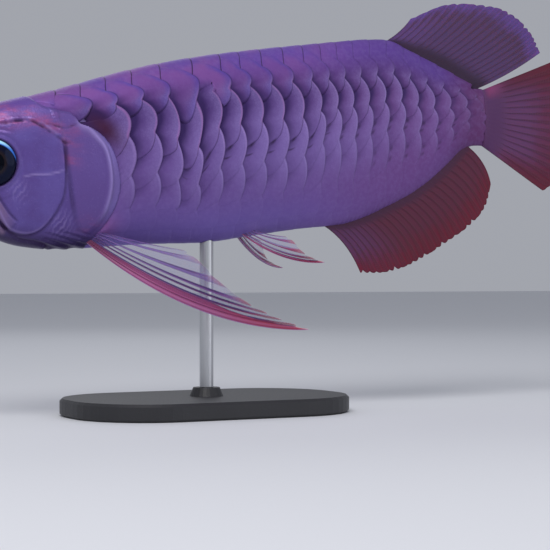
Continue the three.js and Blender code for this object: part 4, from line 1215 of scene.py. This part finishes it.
def red_fin_finish(name, band, rod, web, front_web, margin, margin_start, sides=None, spot=None):
    """Band by the body, rods and webs across the fin, and the margin. Sides also colours both end rays."""
    finish = Finish(
        name, Specular_IOR_Level=0.25, Coat_Roughness=0.3, Subsurface_Weight=0.1, Subsurface_Scale=0.003)
    reach, spread, length = finish.value("reach"), finish.value("spread"), finish.value("length")
    cloud, fine = finish.noise(90.0, 4.0), finish.noise(600.0, 4.0, 0.65)
    line = twig_line(finish, 0.13)
    joints = (length * 4.6).math("SINE")
    glow = (reach + (cloud - 0.5) * 0.35).ramp(margin_start, 1.0) * (0.9 - line * 0.25)
    colour = finish.coats(
        web,
        (1 - spread.ramp(0.08, 0.35), front_web),
        (line * (0.62 + joints * 0.12) + fine * 0.2, rod),
        (1 - (reach + (cloud - 0.5) * 0.1).ramp(0.10, 0.30), band),
        (glow, margin),
    )
    if sides:
        ends = 1 - (0.5 - (spread - 0.5).math("ABSOLUTE")).ramp(0.02, 0.22)
        colour = finish.mix(ends * reach.ramp(0.1, 0.5) * 0.8, colour, sides)
    if spot:
        corner = (1 - spread.ramp(0.04, 0.24)) * (1 - reach.ramp(0.10, 0.36)) * reach.ramp(0.0, 0.08)
        colour = finish.mix(corner * 0.5, colour, spot)
    relief = joints * line * 0.4 + fine * 0.3
    return finish.wear(
        Base_Color=colour, Roughness=0.5 + cloud * 0.1, Coat_Weight=0.08 + line * 0.08,
        Normal=finish.bump(relief, 0.00025, 0.6),
    )


dorsal_look = red_fin_finish(
    "dorsal fin", band=shade(46, 24, 52), rod=shade(72, 36, 60), web=shade(74, 52, 98),
    front_web=shade(86, 60, 118), margin=shade(92, 66, 142), margin_start=0.78)
anal_look = red_fin_finish(
    "anal fin", band=shade(72, 36, 64), rod=shade(66, 18, 38), web=shade(82, 30, 56),
    front_web=shade(84, 46, 88), margin=shade(96, 10, 38), margin_start=0.55)
caudal_look = red_fin_finish(
    "tail fin", band=shade(84, 46, 92), rod=shade(66, 26, 56), web=shade(92, 52, 98),
    front_web=shade(86, 46, 88), margin=shade(88, 14, 40), margin_start=0.40, sides=shade(86, 16, 40),
    spot=shade(150, 62, 110))

fin_piece(
    "dorsal_fin_look", ["dorsal_fin"], dorsal_look, median_point(DORSAL, back_line), rays=DORSAL["rays"],
    steps=64, per_ray=16, root=dorsal_root, ray=0.7, fleshy=0.30, ruffle=0.8, notch=0.015)
fin_piece(
    "anal_fin_look", ["anal_fin"], anal_look, median_point(ANAL, belly_line), rays=ANAL["rays"],
    steps=64, per_ray=16, root=ANAL_ROOT, ray=0.7, fleshy=0.30, ruffle=0.9, notch=0.022)
fin_piece(
    "caudal_fin_look", ["caudal_fin"], caudal_look, caudal_point, rays=CAUDAL["rays"],
    steps=76, per_ray=16, root=caudal_root, ray=0.8, fleshy=0.36, ruffle=0.8, fork=0.30, notch=0.02)

# %% [markdown]
# The pectoral fins are long blades held out and down, with a broad first ray that bends in one sweep. The
# pelvic fins are made the same way. Each ray here has its own tip point, and the right fin is the left one
# mirrored and turned about its root. The webs are so thin that they are nearly clear. The foremost rays are
# pink and the others violet, with a dark line beside each.

# %% Paired fins
PECTORAL = {
    "base": [(-76.5, -7.5, 98.8), (-71, -11.5, 104.2)], "sag": (13.3, 1.0), "right_raise": 50.0,
    "tips": [
        (26.2, -75, 50.1), (18, -73, 53), (10, -71, 56), (3.2, -68, 59.5), (-5.1, -64, 64.4),
        (-18.1, -55, 76.1), (-27.3, -46, 88.2), (-32, -38, 93.6),
    ],
}
PELVIC = {
    "base": [(22, -4.5, 104.2), (28.5, -6.5, 106.4)], "sag": (5.5, 1.0), "right_raise": -8.0,
    "tips": [
        (63.5, -27, 87.4), (56.6, -26, 89.7), (50.7, -24, 93.4), (46.7, -20, 99.4), (43.6, -16, 102.4),
    ],
}


def paired_point(fin, side):
    """Straight from base to tip, then hung lower by 4 sag t (1 - t). The right side is mirrored and turned.

    The sag goes from the first ray's to the last ray's as (1 - s) squared, so the first rays stand apart.
    """
    margin = margin_through(fin["tips"], PAIRED_SAMPLES)
    base = np.array(fin["base"], float)
    turn = math.radians(fin["right_raise"]) if side == RIGHT else 0.0

    def at(s, t):
        tip = margin(s)
        root = base[0] + (base[1] - base[0]) * s[..., None]
        root = root - SUNK * (tip - root) / np.linalg.norm(tip - root, axis=-1, keepdims=True)
        here = root + (tip - root) * t[..., None]
        here[..., 2] -= 4 * blend(fin["sag"][1], fin["sag"][0], (1 - s) ** 2) * t * (1 - t)
        here[..., 1] *= -side
        pivot_y, pivot_z = side * abs(base[0][1]), base[0][2]
        y, z = here[..., 1] - pivot_y, here[..., 2] - pivot_z
        here[..., 1] = pivot_y + y * math.cos(turn) - z * math.sin(turn)
        here[..., 2] = pivot_z + y * math.sin(turn) + z * math.cos(turn)
        return here

    return at


def paired_finish(name, lead_root, lead_tip, lead_colour, lines):
    """The lead, the first ray with its sheath, is so many ray spacings wide at its root and at its tip."""
    finish = Finish(
        name, Specular_IOR_Level=0.3, Coat_Roughness=0.25, Subsurface_Weight=0.1, Subsurface_Scale=0.003)
    reach, place, length = finish.value("reach"), finish.value("place"), finish.value("length")
    fine = finish.noise(500.0, 3.0)
    joints = (length * 5.2).math("SINE")
    line = twig_line(finish, 0.16)
    wide = lead_root - reach.ramp(0.55, 1.0) * (lead_root - lead_tip)
    band = 0.16 - place.ramp(3.0, 5.0) * 0.09
    dark = (place - 0.16 + 0.5).math("FRACT").math("SUBTRACT", 0.5).math("ABSOLUTE")
    dark = 1 - (dark / band).ramp(0.5, 1.3)
    dark = dark * ((place - wide) * 4.0).ramp(0.0, 1.0) * (1 - place.ramp(3.5, 7.5) * 0.5)
    dark = dark * (1 - reach.ramp(0.80, 0.95)) * lines
    lead = 1 - ((place - wide) * 6.0).ramp(0.0, 1.0)
    rosy = finish.coats(
        shade(108, 40, 80),
        (reach.ramp(0.02, 0.30), lead_colour),
        (reach.ramp(0.55, 0.95), shade(172, 44, 72)),
        (joints.ramp(0.0, 1.0) * 0.1, shade(192, 128, 176)),
        (place.peak(0.5, 0.3) * reach.ramp(0.05, 0.3) * 0.35, shade(196, 128, 176)),
        (place.peak(0.95, 0.16) * 0.45, shade(96, 40, 84)),
    )
    ray = finish.coats(
        rosy,
        (place.ramp(1.5, 5.0), shade(120, 84, 158)),
        (reach.ramp(0.90, 0.99) * (1 - place.ramp(3.0, 6.0) * 0.7), shade(172, 46, 74)),
    )
    colour = finish.coats(
        finish.mix(fine, shade(106, 92, 164), shade(140, 122, 198)),
        (line * 0.85, ray),
        (lead, rosy),
        (dark * 0.9, shade(60, 28, 80)),
        ((1 - place.ramp(0.04, 0.16)) * 0.6, shade(176, 146, 204)),
        (reach.ramp(0.985, 1.0) * 0.4, shade(220, 190, 200)),
    )
    fade = 1 - place.ramp(3.0, 7.5) * reach.ramp(0.3, 1.0) * 0.65
    solid = (line * 0.7 * (1 - reach.ramp(0.7, 1.0) * 0.5) + lead + dark).math("MINIMUM", 1.0) * fade
    alpha = (solid + 0.13 + (1 - reach.ramp(0.0, 0.05))).math("MINIMUM", 1.0)
    return finish.wear(
        Base_Color=colour, Roughness=0.42 + fine * 0.1, Coat_Weight=0.1 + lead * 0.1, Alpha=alpha,
        Normal=finish.bump(joints * (line + lead) * 0.2 + fine * 0.3, 0.0002, 0.5),
    )


pectoral_look = paired_finish("pectoral fin", 1.9, 0.55, shade(150, 70, 120), lines=1.0)
pelvic_look = paired_finish("pelvic fin", 0.45, 0.35, shade(134, 44, 82), lines=0.3)
for side, word in SIDES:
    fin_piece(
        f"pectoral_{word}_look", [f"pectoral_fin_{word}"], pectoral_look, paired_point(PECTORAL, side),
        rays=len(PECTORAL["tips"]), steps=110, per_ray=20, root=3.0, ray=0.9, fleshy=0.07, fork=0.55,
        spread=0.14, notch=0.03, width=0.1, lead=1.5)
    fin_piece(
        f"pelvic_{word}_look", [f"pelvic_fin_{word}"], pelvic_look, paired_point(PELVIC, side),
        rays=len(PELVIC["tips"]), steps=70, per_ray=20, root=2.2, ray=0.7, fleshy=0.12, fork=0.5,
        spread=0.16, notch=0.03, width=0.1, lead=1.0)

# %% [markdown]
# ## The stand
#
# The stand is not part of the animal, so it stays plain: a powder-coated plate and a brushed rod. Both
# solids are shown as they are. Powder coat has a fine orange-peel texture, and brushing leaves scratches
# along the rod.

# %% Stand finishes
def powder_coat():
    finish = Finish("black powder coat", Specular_IOR_Level=0.45)
    peel = finish.noise(700.0, 3.0)
    cloud = finish.noise(30.0, 3.0)
    colour = finish.mix(cloud * 0.5, (0.018, 0.018, 0.021), (0.034, 0.034, 0.038))
    return finish.wear(
        Base_Color=colour, Roughness=0.42 + peel * 0.12, Normal=finish.bump(peel, 0.0002, 0.5))


def brushed_rod():
    finish = Finish("brushed steel", Metallic=1.0)
    scratches = finish.noise(1.0, 4.0, at=finish.stretched(2600.0, 2600.0, 60.0))
    colour = finish.mix(scratches, (0.50, 0.51, 0.53), (0.64, 0.65, 0.67))
    return finish.wear(
        Base_Color=colour, Roughness=0.26 + scratches * 0.16, Normal=finish.bump(scratches, 0.00005, 0.6))


for node, look in (("stand_base", powder_coat()), ("stand_rod", brushed_rod())):
    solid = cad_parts[node]
    solid.data.materials.clear()
    solid.data.materials.append(look)

# %% [markdown]
# ## Floor, light and camera
#
# A pale floor, a large soft light above and in front like a tank lamp, a weaker fill and a light from
# behind that draws the edges of the fins. The camera stands level, ahead of the fish's middle and turned
# towards its tail, so that the tip of the snout lies outside the picture.

# %% Studio
LIT_POINT = Vector((0.0, 0.0, 0.14))


def floor_piece(half=6.0):
    mesh = bpy.data.meshes.new("floor")
    corners = [(-half, -half, 0), (half, -half, 0), (half, half, 0), (-half, half, 0)]
    mesh.from_pydata(corners, [], [(0, 1, 2, 3)])
    finish = Finish("pale floor", Roughness=0.7, Specular_IOR_Level=0.2)
    mesh.materials.append(finish.wear(Base_Color=(0.70, 0.71, 0.74)))
    floor = bpy.data.objects.new("floor", mesh)
    bpy.context.scene.collection.objects.link(floor)


def soft_light(name, place, size, watts, colour):
    """A round lamp at a place in metres, turned to the middle of the fish."""
    lamp = bpy.data.lights.new(name, "AREA")
    lamp.shape, lamp.size, lamp.energy, lamp.color = "DISK", size, watts, colour
    light = bpy.data.objects.new(name, lamp)
    light.location = place
    light.rotation_euler = (LIT_POINT - Vector(place)).to_track_quat("-Z", "Y").to_euler()
    bpy.context.scene.collection.objects.link(light)


floor_piece()
soft_light("key", (-0.55, -0.75, 1.15), 0.9, 12.0, (1.0, 0.99, 1.0))
soft_light("fill", (0.9, -1.2, 0.45), 1.2, 3.5, (0.93, 0.95, 1.0))
soft_light("rim", (0.3, 1.1, 0.9), 0.8, 1.5, (0.96, 0.97, 1.0))
world = bpy.data.worlds.new("studio")
world.use_nodes = True
sky = world.node_tree.nodes["Background"].inputs
sky["Color"].default_value = (0.80, 0.83, 0.92, 1.0)
sky["Strength"].default_value = 0.45
bpy.context.scene.world = world
bpy.context.scene.view_settings.view_transform = "Standard"

# %% Camera
YAW, DISTANCE = math.radians(28), 1.008
FOCAL_PIXELS, PICTURE_PIXELS = 1702.0, 550.0
aim = Vector((0.045, 0.0, 0.080))
ahead = Vector((math.sin(YAW), math.cos(YAW), 0.0))
lens = bpy.data.cameras.new("camera")
lens.sensor_width = 36.0
lens.lens = lens.sensor_width * FOCAL_PIXELS / PICTURE_PIXELS
lens.clip_start, lens.clip_end = 0.05, 50.0
camera = bpy.data.objects.new("camera", lens)
camera.location = aim - ahead * DISTANCE
camera.rotation_euler = ahead.to_track_quat("-Z", "Y").to_euler()
bpy.context.scene.collection.objects.link(camera)
bpy.context.scene.camera = camera
print("camera at", [round(v, 3) for v in camera.location], "lens", round(lens.lens, 1))
